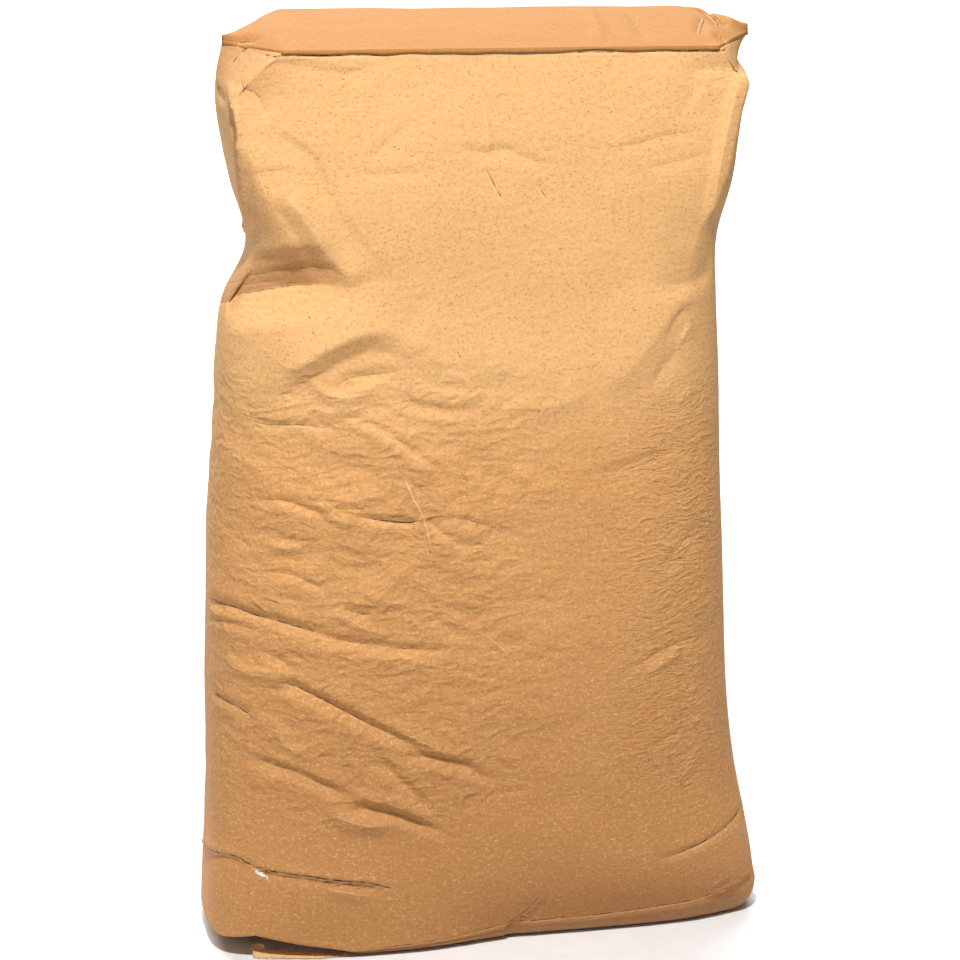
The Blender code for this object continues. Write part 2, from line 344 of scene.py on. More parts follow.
        height -= self.droop(share, outline, left, right)
        return np.column_stack([outline, height])


class FoldKind(Enum):
    """How a fold stands out of the paper."""

    RIDGE = 1
    VALLEY = -1
    STEP = 0
    PLEAT = 2


@dataclass(frozen=True)
class Fold:
    """One fold in the paper, with its course as pixels of the photograph.

    The course runs from left to right, so that `above` is its upper side.
    """

    name: str
    kind: FoldKind
    course: Pixels
    height: float
    above: float
    below: float
    start: float = 0.25
    end: float = 0.35
    power: float = 1.3
    # line paints a line along the course: a positive value a dark line of painted shade in the fold's root, a negative
    # value a light worn line, and below -1.2 a torn white edge.
    line: float = 0.0

    def relief(self, distance: Array, along: Array) -> Array:
        """Return how far the fold lifts the paper.

        Args:
            distance: The signed distance from the course, positive above it.
            along: The share of the course that has been passed.

        Returns:
            The lift of each point, in metres.
        """
        width = np.where(distance > 0, self.above, self.below)
        if self.kind is FoldKind.PLEAT:
            return self.height * self.pleat(distance) * self.strength(along)
        slope = np.clip(1.0 - np.abs(distance) / width, 0.0, 1.0) ** self.power
        if self.kind is FoldKind.STEP:
            edge = min(self.above, self.below) / 5
            slope = slope * np.tanh(distance / edge)
            return self.height * slope * self.strength(along)
        return self.kind.value * self.height * slope * self.strength(along)

    def pleat(self, distance: Array) -> Array:
        """Return a pleat's profile: a low crest above the line, a root, and a fuller crest below it."""
        over, under = distance / self.above, -distance / self.below
        upper = (-1.0 + 1.3 * smooth(0.0, 1.0, over)) * (1.0 - smooth(1.0, 3.2, over))
        lower = (-1.0 + 1.6 * smooth(0.0, 0.5, under)) * (1.0 - smooth(0.5, 1.7, under))
        return np.where(distance > 0, upper, lower)

    def strength(self, along: Array) -> Array:
        """Return how strong the fold is along its course."""
        rise = smooth(0.0, self.start, along) if self.start > 0 else np.ones_like(along)
        fall = 1.0 - smooth(1.0 - self.end, 1.0, along) if self.end > 0 else 1.0
        return rise * fall


def rounded_course(points: Array, steps: int = 6) -> Array:
    """Return a smooth course through points, by Catmull-Rom splines."""
    padded = np.vstack([2 * points[0] - points[1], points, 2 * points[-1] - points[-2]])
    course = []
    for a, b, c, d in zip(padded, padded[1:], padded[2:], padded[3:]):
        for t in np.arange(steps) / steps:
            course.append(
                0.5 * (2 * b + (c - a) * t + (2 * a - 5 * b + 4 * c - d) * t**2
                       + (3 * b - a - 3 * c + d) * t**3)
            )
    course.append(points[-1])
    return np.array(course)


def measure_from(course: Array, spots: Array) -> tuple[Array, Array]:
    """Measure where spots lie beside a course on the flat paper, within reach of it.

    Args:
        course: The course's points, one row each.
        spots: The spots, one row each.

    Returns:
        The signed distance of each spot, positive on the left of the way,
        and the share of the way from the course's start to its end.
    """
    lengths = np.linalg.norm(np.diff(course, axis=0), axis=1)
    low, high = course.min(axis=0) - FOLD_REACH, course.max(axis=0) + FOLD_REACH
    near = np.flatnonzero(np.all((spots > low) & (spots < high), axis=1))
    here = spots[near]
    best = np.full(len(here), FOLD_REACH)
    side = np.ones(len(here))
    chord = course[-1] - course[0]
    for k, length in enumerate(lengths):
        way = (course[k + 1] - course[k]) / max(length, 1e-9)
        offset = here - course[k]
        run = np.clip(offset @ way, 0.0, length)
        away = offset - run[:, None] * way
        distance = np.linalg.norm(away, axis=1)
        closer = distance < best
        cross = way[0] * offset[:, 1] - way[1] * offset[:, 0]
        best = np.where(closer, distance, best)
        side = np.where(closer, np.where(cross >= 0, 1.0, -1.0), side)
    distances = np.full(len(spots), FOLD_REACH)
    along = np.zeros(len(spots))
    distances[near] = best * side
    along[near] = (here - course[0]) @ chord / (chord @ chord)
    return distances, along


R, V, S, P = FoldKind.RIDGE, FoldKind.VALLEY, FoldKind.STEP, FoldKind.PLEAT

NECK_FOLDS = (
    Fold("neck_pinch_left", V, ((214, 302), (235, 303), (262, 299), (290, 296), (320, 289), (354, 283)),
         0.0205, 0.028, 0.017, 0.02, 0.30, 1.0, 0.60),
    Fold("neck_wrinkle_a", V, ((222, 269), (250, 264), (280, 258), (306, 256)), 0.0014, 0.004, 0.007, 0.1, 0.3, 1.0, 0.35),
    Fold("neck_wrinkle_b", V, ((219, 284), (250, 281), (290, 274), (326, 270), (352, 282)),
         0.0018, 0.004, 0.008, 0.1, 0.1, 1.0, 0.55),
    Fold("neck_wrinkle_c", V, ((216, 294), (248, 291), (286, 286), (310, 284)), 0.0014, 0.003, 0.006, 0.05, 0.3, 1.0, 0.45),
    Fold("neck_facet_edge", R, ((262, 186), (285, 198), (303, 218), (322, 246), (340, 270), (362, 292)),
         0.0046, 0.018, 0.009, 0.3, 0.2, 1.0),
    Fold("shoulder_edge", R, ((252, 384), (300, 362), (322, 349), (345, 338), (372, 330), (400, 335), (424, 346)),
         0.0078, 0.028, 0.012, 0.35, 0.35, 1.0),
    Fold("shoulder_nick", V, ((216, 314), (226, 330), (238, 345)), 0.0026, 0.004, 0.006, 0.1, 0.3, 1.0, 0.3),
    Fold("saddle_left", R, ((400, 330), (440, 362), (470, 385), (508, 404)), 0.0026, 0.040, 0.014, 0.2, 0.4, 1.2),
    Fold("saddle_foot", R, ((500, 402), (540, 407), (580, 397), (600, 386)), 0.0020, 0.040, 0.012, 0.3, 0.3, 1.2),
    Fold("saddle_right", R, ((590, 396), (622, 374), (650, 342), (676, 304), (700, 284)),
         0.0026, 0.036, 0.014, 0.3, 0.2, 1.2),
    Fold("neck_pinch_right", V, ((640, 283), (665, 284), (690, 284), (712, 270)), 0.0030, 0.020, 0.010, 0.5, 0.15, 1.1, 0.3),
)

BELLY_FOLDS = (
    Fold("under_shoulder", V, ((335, 385), (352, 378), (380, 374), (408, 370)), 0.0021, 0.0040, 0.0079, 0.2, 0.4, 1.0, 0.53),
    Fold("under_shoulder_crest", R, ((304, 378), (316, 388), (335, 397), (358, 394), (392, 378)), 0.0028, 0.0045, 0.0075, 0.3, 0.4, 1.0, -0.45),
    Fold("arc_foot", R, ((305, 405), (325, 412), (350, 409)), 0.0014, 0.0040, 0.0055, 0.3, 0.3, 1.0, -0.45),
    Fold("wave_upper", P, ((392, 396), (420, 408), (455, 412), (480, 408)), 0.0014, 0.0060, 0.0110, 0.3, 0.4, 1.0, 0.25),
    Fold("left_line", P, ((238, 411), (262, 424), (300, 425), (330, 429), (346, 424)), 0.0011, 0.0034, 0.0070, 0.2, 0.3, 1.0, 0.73),
    Fold("long_ridge", P, ((342, 414), (362, 421), (390, 437), (420, 458), (456, 484)), 0.0015, 0.0048, 0.0100, 0.2, 0.35, 1.0, 0.25),
    Fold("long_ridge_crest", R, ((346, 420), (364, 426), (392, 443), (420, 463), (450, 484)), 0.0019, 0.0040, 0.0055, 0.3, 0.35, 1.0, -0.45),
    Fold("scratch", R, ((402, 472), (413, 498), (424, 520), (433, 556)), 0.0008, 0.0025, 0.0025, 0.2, 0.2, 1.0, -0.9),
    Fold("dark_dent", P, ((258, 498), (285, 501), (315, 511), (332, 521)), 0.0016, 0.0045, 0.0090, 0.3, 0.3, 1.0, 0.25),
    Fold("crest_a", R, ((312, 494), (326, 508), (342, 520), (362, 520)), 0.0020, 0.0040, 0.0065, 0.3, 0.3, 1.0, -0.45),
    Fold("crest_b", R, ((325, 501), (352, 500), (372, 496), (392, 500)), 0.0014, 0.0045, 0.0055, 0.3, 0.3, 1.0, -0.45),
    Fold("middle_crease", P, ((352, 514), (366, 518), (388, 522), (412, 523), (426, 517)), 0.0015, 0.0036, 0.0080, 0.2, 0.2, 1.0, 0.97),
    Fold("middle_branch", P, ((424, 518), (442, 532), (462, 545), (488, 545)), 0.0012, 0.0040, 0.0080, 0.1, 0.3, 1.0, 0.41),
    Fold("middle_line", V, ((430, 516), (462, 519), (492, 528), (512, 542)), 0.0010, 0.0019, 0.0058, 0.2, 0.3, 1.0, 0.53),
    Fold("left_dent", P, ((250, 530), (275, 538), (300, 541), (318, 537)), 0.0014, 0.0042, 0.0085, 0.3, 0.3, 1.0, 0.37),
    Fold("left_crest", R, ((262, 541), (282, 547), (306, 545)), 0.0014, 0.0040, 0.0055, 0.3, 0.3, 1.0, -0.45),
    Fold("faint_a", P, ((268, 572), (292, 575), (312, 584), (332, 596)), 0.0013, 0.0036, 0.0080, 0.3, 0.3, 1.0, 0.49),
    Fold("faint_b", R, ((352, 588), (385, 600), (420, 610)), 0.0012, 0.0040, 0.0045, 0.3, 0.3, 1.0, -0.45),
    Fold("faint_c", V, ((342, 608), (356, 613), (374, 616)), 0.0016, 0.0019, 0.0065, 0.2, 0.3, 1.0, 0.81),
    Fold("faint_d", R, ((326, 610), (346, 617), (364, 628), (380, 634)), 0.0014, 0.0040, 0.0055, 0.3, 0.3, 1.0, -0.45),
    Fold("right_light_line", R, ((446, 612), (470, 628), (492, 640), (514, 660)), 0.0010, 0.0030, 0.0040, 0.2, 0.2, 1.0, -0.45),
    Fold("left_twig", P, ((236, 578), (250, 594), (270, 610)), 0.0010, 0.0034, 0.0070, 0.2, 0.3, 1.0, 0.49),
    Fold("long_fold", P, ((209, 597), (230, 607), (255, 616), (278, 622), (300, 628), (322, 634), (352, 642)), 0.0021, 0.0055, 0.0125, 0.1, 0.3, 1.0, 0.9),
    Fold("long_fold_end", P, ((300, 631), (335, 640), (375, 646), (406, 650), (440, 650), (466, 646)), 0.0021, 0.0050, 0.0120, 0.3, 0.35, 1.0, 0.61),
    Fold("parallel_fold", P, ((210, 615), (235, 624), (262, 634), (280, 642)), 0.0015, 0.0040, 0.0090, 0.1, 0.3, 1.0, 0.53),
    Fold("between_fold", P, ((248, 648), (272, 656), (298, 672)), 0.0014, 0.0042, 0.0090, 0.3, 0.3, 1.0, 0.41),
    Fold("great_fold_crest", R, ((222, 655), (238, 668), (262, 675), (296, 675)), 0.0031, 0.0065, 0.0075, 0.3, 0.3, 1.0, -0.45),
    Fold("great_fold", P, ((272, 681), (292, 686), (318, 698), (345, 712), (372, 726), (402, 740), (430, 752)), 0.0027, 0.0060, 0.0150, 0.15, 0.3, 1.0, 0.93),
    Fold("great_fold_end", P, ((392, 757), (420, 757), (445, 760), (470, 769), (500, 783)), 0.0021, 0.0050, 0.0120, 0.3, 0.35, 1.0, 0.49),
    Fold("great_fold_tongue", R, ((385, 728), (412, 736), (440, 750), (466, 765)), 0.0021, 0.0055, 0.0055, 0.3, 0.35, 1.0, -0.45),
    Fold("great_fold_branch", P, ((366, 748), (388, 768), (415, 795), (446, 824)), 0.0016, 0.0045, 0.0110, 0.3, 0.4, 1.0, 0.41),
    Fold("side_crease", P, ((213, 692), (236, 707), (264, 727)), 0.0016, 0.0038, 0.0090, 0.1, 0.25, 1.0, 0.85),
    Fold("side_nick", V, ((248, 706), (262, 711), (276, 718)), 0.0016, 0.0019, 0.0058, 0.3, 0.3, 1.0, 0.57),
    Fold("side_ridge", R, ((252, 708), (270, 726), (292, 748), (322, 762)), 0.0028, 0.0075, 0.0055, 0.25, 0.35, 1.0, -0.45),
    Fold("low_fold", P, ((240, 753), (268, 764), (298, 774), (330, 789), (362, 801)), 0.0023, 0.0055, 0.0140, 0.2, 0.3, 1.0, 0.53),
    Fold("low_fold_end", P, ((340, 806), (368, 810), (395, 815), (425, 826), (456, 838)), 0.0022, 0.0052, 0.0130, 0.25, 0.35, 1.0, 0.57),
    Fold("low_fold_crest", R, ((318, 802), (340, 817), (366, 824), (398, 828)), 0.0031, 0.0055, 0.0095, 0.3, 0.35, 1.0, -0.45),
    Fold("low_fold_tongue", R, ((345, 790), (375, 800), (405, 808), (440, 826)), 0.0019, 0.0065, 0.0045, 0.3, 0.35, 1.0, -0.45),
    Fold("pull_a", V, ((664, 342), (676, 318), (694, 300)), 0.0010, 0.0021, 0.0065, 0.3, 0.3, 1.0, 0.25),
    Fold("pull_b", R, ((676, 346), (684, 334), (690, 322)), 0.0012, 0.0030, 0.0030, 0.2, 0.2, 1.0, -0.45),
    Fold("pull_c", R, ((676, 404), (686, 394), (698, 388)), 0.0010, 0.0030, 0.0030, 0.2, 0.2, 1.0, -0.45),
    Fold("pull_d", V, ((648, 392), (664, 366), (680, 350)), 0.0013, 0.0036, 0.0079, 0.3, 0.3, 1.0, 0.25),
    Fold("right_dent_a", V, ((560, 482), (600, 474), (640, 462), (690, 440)), 0.0013, 0.0055, 0.0166, 0.4, 0.3, 1.0, 0.25),
    Fold("right_dent_b", V, ((650, 586), (672, 556), (694, 530), (712, 500)), 0.0013, 0.0045, 0.0108, 0.3, 0.3, 1.0, 0.25),
    Fold("right_crest_a", R, ((664, 560), (684, 546), (700, 536)), 0.0010, 0.0040, 0.0040, 0.3, 0.3, 1.0, -0.45),
    Fold("right_crest_b", R, ((640, 674), (664, 664), (684, 648)), 0.0020, 0.0055, 0.0040, 0.3, 0.2, 1.0, -0.45),
    Fold("right_line_a", V, ((610, 680), (640, 664), (672, 646), (716, 626)), 0.0009, 0.0021, 0.0065, 0.3, 0.2, 1.0, 0.49),
    Fold("right_nick_b", R, ((668, 746), (684, 732), (702, 714)), 0.0012, 0.0040, 0.0040, 0.3, 0.2, 1.0, -0.45),
    Fold("right_line_b", V, ((642, 748), (672, 736), (700, 726)), 0.0009, 0.0019, 0.0058, 0.2, 0.3, 1.0, 0.49),
    Fold("right_low_crest", R, ((672, 786), (686, 770), (700, 748)), 0.0014, 0.0055, 0.0055, 0.3, 0.3, 1.0, -0.45),
)

FOOT_FOLDS = (
    Fold("foot_cut", S, ((203, 843), (228, 854), (253, 867), (278, 872), (305, 876), (335, 881), (370, 884), (404, 892)), 0.0019, 0.0045, 0.0075, 0.0, 0.15, 1.0, 2.8),
    Fold("torn_lip", R, ((249, 869), (256, 872), (262, 876), (269, 880)), 0.0004, 0.0030, 0.0030, 0.15, 0.15, 1.0, -3.0),
    Fold("foot_lip", R, ((318, 888), (345, 892), (385, 898)), 0.0016, 0.0040, 0.0075, 0.3, 0.4, 1.0, -0.45),
    Fold("foot_crease_right", P, ((652, 861), (680, 853), (703, 843), (722, 829), (741, 808)), 0.0013, 0.0040, 0.0080, 0.3, 0.0, 1.0, 0.93),
    Fold("foot_tuck_right", S, ((700, 894), (722, 891), (736, 882), (752, 870)), 0.0020, 0.0045, 0.0055, 0.3, 0.1, 1.0, 0.9),
    Fold("foot_tuck_upper", R, ((706, 890), (720, 880), (734, 871)), 0.0010, 0.0030, 0.0030, 0.3, 0.3, 1.0, -0.45),
    Fold("foot_notch", V, ((512, 922), (526, 914), (542, 896)), 0.0022, 0.0026, 0.0079, 0.0, 0.2, 1.0, 0.69),
)

TOP_FOLDS = (
    Fold("side_edge", R, ((229, 78), (236, 110), (241, 150), (244, 185), (247, 215), (246, 238)), 0.0038, 0.0030, 0.0040, 0.1, 0.15, 1.0, -0.45),
    Fold("side_recess", V, ((229, 96), (235, 140), (238, 180), (243, 222)), 0.0044, 0.0021, 0.0043, 0.2, 0.2, 1.0, 0.49),
    Fold("side_dent", V, ((213, 84), (219, 92), (224, 98)), 0.0022, 0.0021, 0.0065, 0.1, 0.2, 1.0, 0.57),
    Fold("corner_slit", V, ((231, 66), (238, 56), (246, 47)), 0.0012, 0.0026, 0.0040, 0.1, 0.1, 1.0, 1.3),
    Fold("corner_diagonal", V, ((240, 78), (255, 94), (264, 108), (269, 122)), 0.0013, 0.0026, 0.0058, 0.1, 0.2, 1.0, 0.65),
    Fold("lip_shade", V, ((262, 60), (300, 66), (345, 72), (400, 64)), 0.0012, 0.0026, 0.0108, 0.2, 0.4, 1.0, 0.25),
    Fold("upper_diagonal", V, ((262, 124), (290, 142), (314, 160), (326, 190), (332, 214)), 0.0017, 0.0040, 0.0122, 0.3, 0.3, 1.0, 0.25),
    Fold("upper_diagonal_end", R, ((340, 170), (352, 210), (372, 246), (405, 280)), 0.0016, 0.0150, 0.0095, 0.3, 0.4, 1.0, -0.45),
    Fold("upper_faint_a", V, ((252, 173), (272, 171), (300, 168)), 0.0008, 0.0019, 0.0058, 0.1, 0.4, 1.0, 0.49),
    Fold("upper_faint_b", V, ((352, 175), (395, 174), (440, 172)), 0.0009, 0.0045, 0.0058, 0.2, 0.4, 1.0, 0.37),
    Fold("upper_shade", V, ((362, 170), (380, 150), (402, 130), (425, 118)), 0.0009, 0.0045, 0.0108, 0.3, 0.4, 1.0, 0.25),
    Fold("upper_middle_line", R, ((484, 100), (487, 130), (489, 160)), 0.0008, 0.0030, 0.0030, 0.2, 0.2, 1.0, -0.45),
    Fold("upper_nick_a", V, ((486, 168), (494, 184), (503, 200)), 0.0006, 0.0019, 0.0043, 0.1, 0.1, 1.0, 0.73),
    Fold("upper_nick_b", V, ((536, 182), (541, 190), (547, 199)), 0.0005, 0.0019, 0.0043, 0.1, 0.1, 1.0, 0.73),
    Fold("upper_nick_c", V, ((637, 145), (641, 154)), 0.0004, 0.0019, 0.0043, 0.1, 0.1, 1.0, 0.65),
    Fold("upper_swell", V, ((450, 143), (482, 152), (506, 149), (532, 160), (560, 166)), 0.0013, 0.0036, 0.0079, 0.3, 0.3, 1.0, 0.37),
    Fold("upper_right_pull", V, ((718, 46), (708, 70), (697, 88), (682, 112), (664, 132)), 0.0034, 0.0045, 0.0122, 0.05, 0.4, 1.0, 0.37),
    Fold("pull_line_a", V, ((600, 151), (640, 143), (668, 135), (708, 130)), 0.0009, 0.0019, 0.0058, 0.3, 0.3, 1.0, 0.41),
    Fold("pull_line_b", V, ((636, 171), (668, 164), (712, 152)), 0.0008, 0.0019, 0.0058, 0.3, 0.3, 1.0, 0.37),
    Fold("pull_line_c", V, ((706, 82), (722, 78), (742, 70)), 0.0010, 0.0019, 0.0058, 0.2, 0.2, 1.0, 0.53),
    Fold("right_edge", R, ((738, 66), (728, 120), (716, 180), (704, 238)), 0.0028, 0.0095, 0.0055, 0.2, 0.2, 1.0, -0.45),
)


SHEET_FOLDS = (
    Fold("right_tuck", V, ((702, 8), (712, 12), (718, 20), (717, 26)), 0.0041, 0.008, 0.008, 0.1, 0.1, 1.3, 1.0),
    Fold("right_flap", R, ((719, 12), (728, 22), (738, 30)), 0.0030, 0.009, 0.006, 0.1, 0.2, 1.3, 0.3),
    Fold("right_pleat", V, ((705, 16), (701, 26), (699, 36)), 0.0022, 0.006, 0.006, 0.2, 0.2, 1.3, 0.9),
    Fold("right_corner", V, ((720, 34), (722, 42)), 0.0019, 0.006, 0.006, 0.1, 0.1, 1.3, 0.6),
    Fold("soft_crease_a", R, ((583, 8), (598, 26), (602, 44)), 0.0014, 0.008, 0.008, 0.2, 0.2, 1.6, 0.15),
    Fold("soft_crease_b", V, ((628, 12), (640, 28), (648, 44)), 0.0016, 0.011, 0.011, 0.2, 0.3, 1.6, 0.1),
    Fold("left_pleat", V, ((236, 40), (248, 40), (262, 40)), 0.0016, 0.006, 0.006, 0.2, 0.3, 1.3, 0.7),
)


@dataclass
class Paper:
    """The grid of points of the sack's wall and its flat paper coordinates."""

    points: Array
    across: Array
    upward: Array
    rows: int
    columns: int
    normals: Array = field(default_factory=lambda: np.zeros((0, 3)))

    def find_normals(self) -> None:
        """Work out the outward normals of all points from the grid."""
        grid = self.points.reshape(self.rows, self.columns, 3)
        around = np.roll(grid, -1, axis=1) - np.roll(grid, 1, axis=1)
        up = np.gradient(grid, axis=0)
        normal = np.cross(around, up)
        length = np.linalg.norm(normal, axis=2, keepdims=True)
        self.normals = (normal / np.maximum(length, 1e-12)).reshape(-1, 3)

    def lift(self, amount: Array) -> None:
        """Move all points outwards along their normals."""
        self.points = self.points + self.normals * amount[:, None]

    def bring_forward(self, amount: Array) -> None:
        """Move the points of the front straight forward."""
        facing = smooth(0.0, 0.34, -self.normals[:, 1])
        self.points = self.points + np.outer(amount * facing, (0.0, -1.0, 0.0))

    def spot(self, face: int, hit: Vector) -> tuple[float, float]:
        """Return where a point on a face lies on the flat paper."""
        row, column = divmod(face, self.columns)
        corner = row * self.columns + column
        beside = row * self.columns + (column + 1) % self.columns
        above = corner + self.columns
        side = self.points[beside] - self.points[corner]
        rise = self.points[above] - self.points[corner]
        offset = np.array(hit) - self.points[corner]
        share = float(offset @ side / (side @ side))
        climb = float(offset @ rise / (rise @ rise))
        across = self.across[corner] + share * float(np.linalg.norm(side))
        upward = self.upward[corner] + climb * (self.upward[above] - self.upward[corner])
        return across, upward


def ring_faces(low: int, high: int, count: int) -> list[tuple[int, ...]]:
    """Return the faces between two rings, given by their first points."""
    return [
        (low + i, low + (i + 1) % count, high + (i + 1) % count, high + i)
        for i in range(count)
    ]


def wall_faces(rows: int, columns: int) -> list[tuple[int, ...]]:
    """Return the faces between the rings of a wall, facing out."""
    faces: list[tuple[int, ...]] = []
    for row in range(rows - 1):
        faces += ring_faces(row * columns, (row + 1) * columns, columns)
    return faces


def ringed_skin(rings: Sequence[Array]) -> tuple[Array, list[tuple[int, ...]]]:
    """Join rings into a closed skin, facing out where the rings climb.

    Args:
        rings: The rings, each with the same number of points.

    Returns:
        The points and the faces, with one face over each end.
    """
    count = len(rings[0])
    faces = wall_faces(len(rings), count)
    last = (len(rings) - 1) * count
    faces.append(tuple(range(count))[::-1])
    faces.append(tuple(range(last, last + count)))
    return np.vstack(rings), faces


def cast(view: PhotoView, tree: BVHTree, pixel: tuple[float, float]) -> tuple[Vector, int]:
    """Find what the photograph shows at a pixel, or just inward of it.

    Args:
        view: The camera.
        tree: The search tree of the surface.
        pixel: The pixel.

    Returns:
        The point of the surface and the number of its face.
    """
    inward = 1.0 if pixel[0] < PHOTO_SIZE / 2 else -1.0
    for shift in range(0, 60, 2):
        moved = (pixel[0] + inward * shift, pixel[1])
        hit, _, face, _ = tree.ray_cast(view.place, view.ray(moved))
        if hit is not None:
            return hit, face
    raise ValueError(f"nothing of the sack is near the pixel {pixel}")


def make_object(
    name: str, points: Array, faces: Sequence[tuple[int, ...]], values: dict[str, Array]
) -> bpy.types.Object:
    """Make a smooth mesh object with values on its points.

    Args:
        name: The object's name.
        points: The points, one row each.
        faces: The faces, as numbers of points.
        values: What is noted on each point, numbers or vectors.

    Returns:
        The new object, linked to the scene.
    """
    mesh = bpy.data.meshes.new(name)
    mesh.from_pydata(points.tolist(), [], faces)
    mesh.update()
    mesh.shade_smooth()
    for label, noted in values.items():
        kind, key = ("FLOAT", "value") if noted.ndim == 1 else ("FLOAT_VECTOR", "vector")
        layer = mesh.attributes.new(label, kind, "POINT")
        layer.data.foreach_set(key, np.ascontiguousarray(noted, dtype=np.float32).ravel())
    made = bpy.data.objects.new(name, mesh)
    bpy.context.scene.collection.objects.link(made)
    return made


@dataclass(frozen=True)
class Crumple:
    """One layer of small uneven creases, as cells with sharp edges."""

    size: float
    height: float
    stretch: float
    turn: float
    everywhere: float
    at_left: float
    at_foot: float
    seed: int


CRUMPLES = (
    Crumple(0.050, 5.0 * MM, 1.8, radians(-22), 0.25, 0.75, 0.1, 11),
    Crumple(0.032, -3.6 * MM, 3.2, radians(-28), 0.10, 0.35, 0.9, 12),
    Crumple(0.026, -2.4 * MM, 1.6, radians(-14), 0.15, 0.95, 0.1, 13),
    Crumple(0.016, 1.3 * MM, 1.5, radians(25), 0.15, 0.85, 0.3, 14),
)


@dataclass
class SackBody:
    """The paper tube of the sack with its folds, as one skin."""

    form: SackForm
    view: PhotoView
    front_steps: int = 200
    side_steps: int = 34
    back_steps: int = 60
    wall_rows: int = 276
    under_steps: int = 10
    rim_steps: int = 3
    flat_height: float = 0.9 * MM
    under_reach: float = 14 * MM
    corner_reach: float = 44 * MM
    lip_drop: float = 2.4 * MM
    line_reach: float = 4.5 * MM
    deep_fold: float = 13 * MM
    lines: dict[str, Array] = field(default_factory=dict)
    rim: Array = field(default_factory=lambda: np.zeros((0, 3)))
    underside: list[Array] = field(default_factory=list)
    paper: Paper | None = None

    def plan(self) -> Paper:
        """Lay out the smooth wall and its paper coordinates."""
        shares = np.arange(self.wall_rows + 1) / self.wall_rows
        counts = (self.front_steps, self.side_steps, self.back_steps)
        grid = np.array([self.form.ring(share, *counts) for share in shares])
        columns = grid.shape[1]
        steps = np.linalg.norm(np.roll(grid, -1, axis=1) - grid, axis=2)
        passed = np.concatenate([np.zeros((len(grid), 1)), np.cumsum(steps, axis=1)], axis=1)
        middle = self.front_steps // 2
        across = passed[:, :-1] - passed[:, middle : middle + 1]
        around = passed[:, -1:]
        across = np.where(across > around / 2, across - around, across)
        heights = self.form.bottom_crease + shares * (self.form.top_crease - self.form.bottom_crease)
        upward = np.repeat(heights[:, None], columns, axis=1)
        paper = Paper(grid.reshape(-1, 3), across.ravel(), upward.ravel(), len(grid), columns)
        paper.find_normals()
        count = len(paper.points)
        self.lines = {
            "line_distance": np.full(count, 1.0),
            "line_strength": np.zeros(count),
            "crest": np.zeros(count),
            "shade": np.zeros(count),
        }
        return paper

    def fold(self, paper: Paper, folds: Sequence[Fold], forward: bool = False) -> None:
        """Work the folds into the paper and note their lines.

        Args:
            paper: The wall, changed in place.
            folds: The folds, in any order.
            forward: Whether the folds stand straight forward, as large ones do; above their deep roots the paper also
                gets painted shade.
        """
        paper.find_normals()
        quads = wall_faces(paper.rows, paper.columns)
        tree = BVHTree.FromPolygons([Vector(point) for point in paper.points], quads)
        flat = np.column_stack([paper.across, paper.upward])
        relief = np.zeros(len(flat))
        for fold in folds:
            hits = [cast(self.view, tree, pixel) for pixel in fold.course]
            course = rounded_course(np.array([paper.spot(face, hit) for hit, face in hits]))
            distance, along = measure_from(course, flat)
            lift = fold.relief(distance, along)
            relief += lift
            edge = np.exp(-np.abs(distance) / (2.5 * MM))
            self.lines["crest"] += np.maximum(lift, 0.0) / MM * edge
            if fold.line != 0:
                self.note_line(distance, fold.line * fold.strength(along))
            if forward:
                # Painted shade: above a deep forward fold the paper is darkened, for the shade on its downward-facing
                # slope.
                painted_fold_shade = 0.45 * np.clip(-lift / self.deep_fold, 0.0, 1.0) * (distance > 0)
                self.lines["shade"] = np.maximum(self.lines["shade"], painted_fold_shade)
        if forward:
            paper.bring_forward(relief)
        else:
            paper.lift(relief)

    def note_line(self, distance: Array, strength: Array) -> None:
        """Note a sharp line, where it is nearer than those noted before."""
        noted = self.lines
        near = 1.0 - smooth(0.5 * self.line_reach, self.line_reach, np.abs(distance))
        closer = (np.abs(distance) < np.abs(noted["line_distance"])) & (np.abs(strength) * near > 0.02)
        noted["line_distance"] = np.where(closer, distance, noted["line_distance"])
        noted["line_strength"] = np.where(closer, strength * near, noted["line_strength"])

    def note_edges(self, paper: Paper) -> None:
        """Note the painted shadow line in the gap under the top sheet's edge, and the painted shade line at the bottom
        crease.
        """
        front = 1.0 - smooth(0.135, 0.150, np.abs(paper.across + 0.002))
        x = paper.across
        # Painted shadow under the top sheet's edge, strongest at the left and towards the right.
        gap = 0.30 + 0.7 * (1.0 - smooth(-0.075, -0.060, x))
        gap = np.maximum(gap, 0.9 * smooth(0.035, 0.045, x) * (1.0 - smooth(0.070, 0.078, x)))
        gap = np.maximum(gap, 0.9 * smooth(0.082, 0.090, x))
        self.note_line(paper.upward - (self.form.top_crease - self.lip_drop), front * gap)
        # Painted shade line along the bottom crease.
        crease = smooth(-0.10, -0.07, x) * (1.0 - smooth(0.14, 0.16, x))
        crease *= 0.75 + 0.25 * smooth(0.01, 0.03, x)
        self.note_line(paper.upward - self.form.bottom_crease - 0.2 * MM, crease)
        half = np.abs(paper.across).reshape(paper.rows, paper.columns).max(axis=1).repeat(paper.columns)
        beside = np.where(paper.across > 0, paper.across - half, paper.across + half)
        self.note_line(beside - 0.2 * MM, 0.8 * (np.abs(beside) < 0.03))
        paper.find_normals()
        paper.lift(0.6 * MM * (beside > 0) * (1.0 - smooth(0.02, 0.06, beside)) * (beside < 0.1))

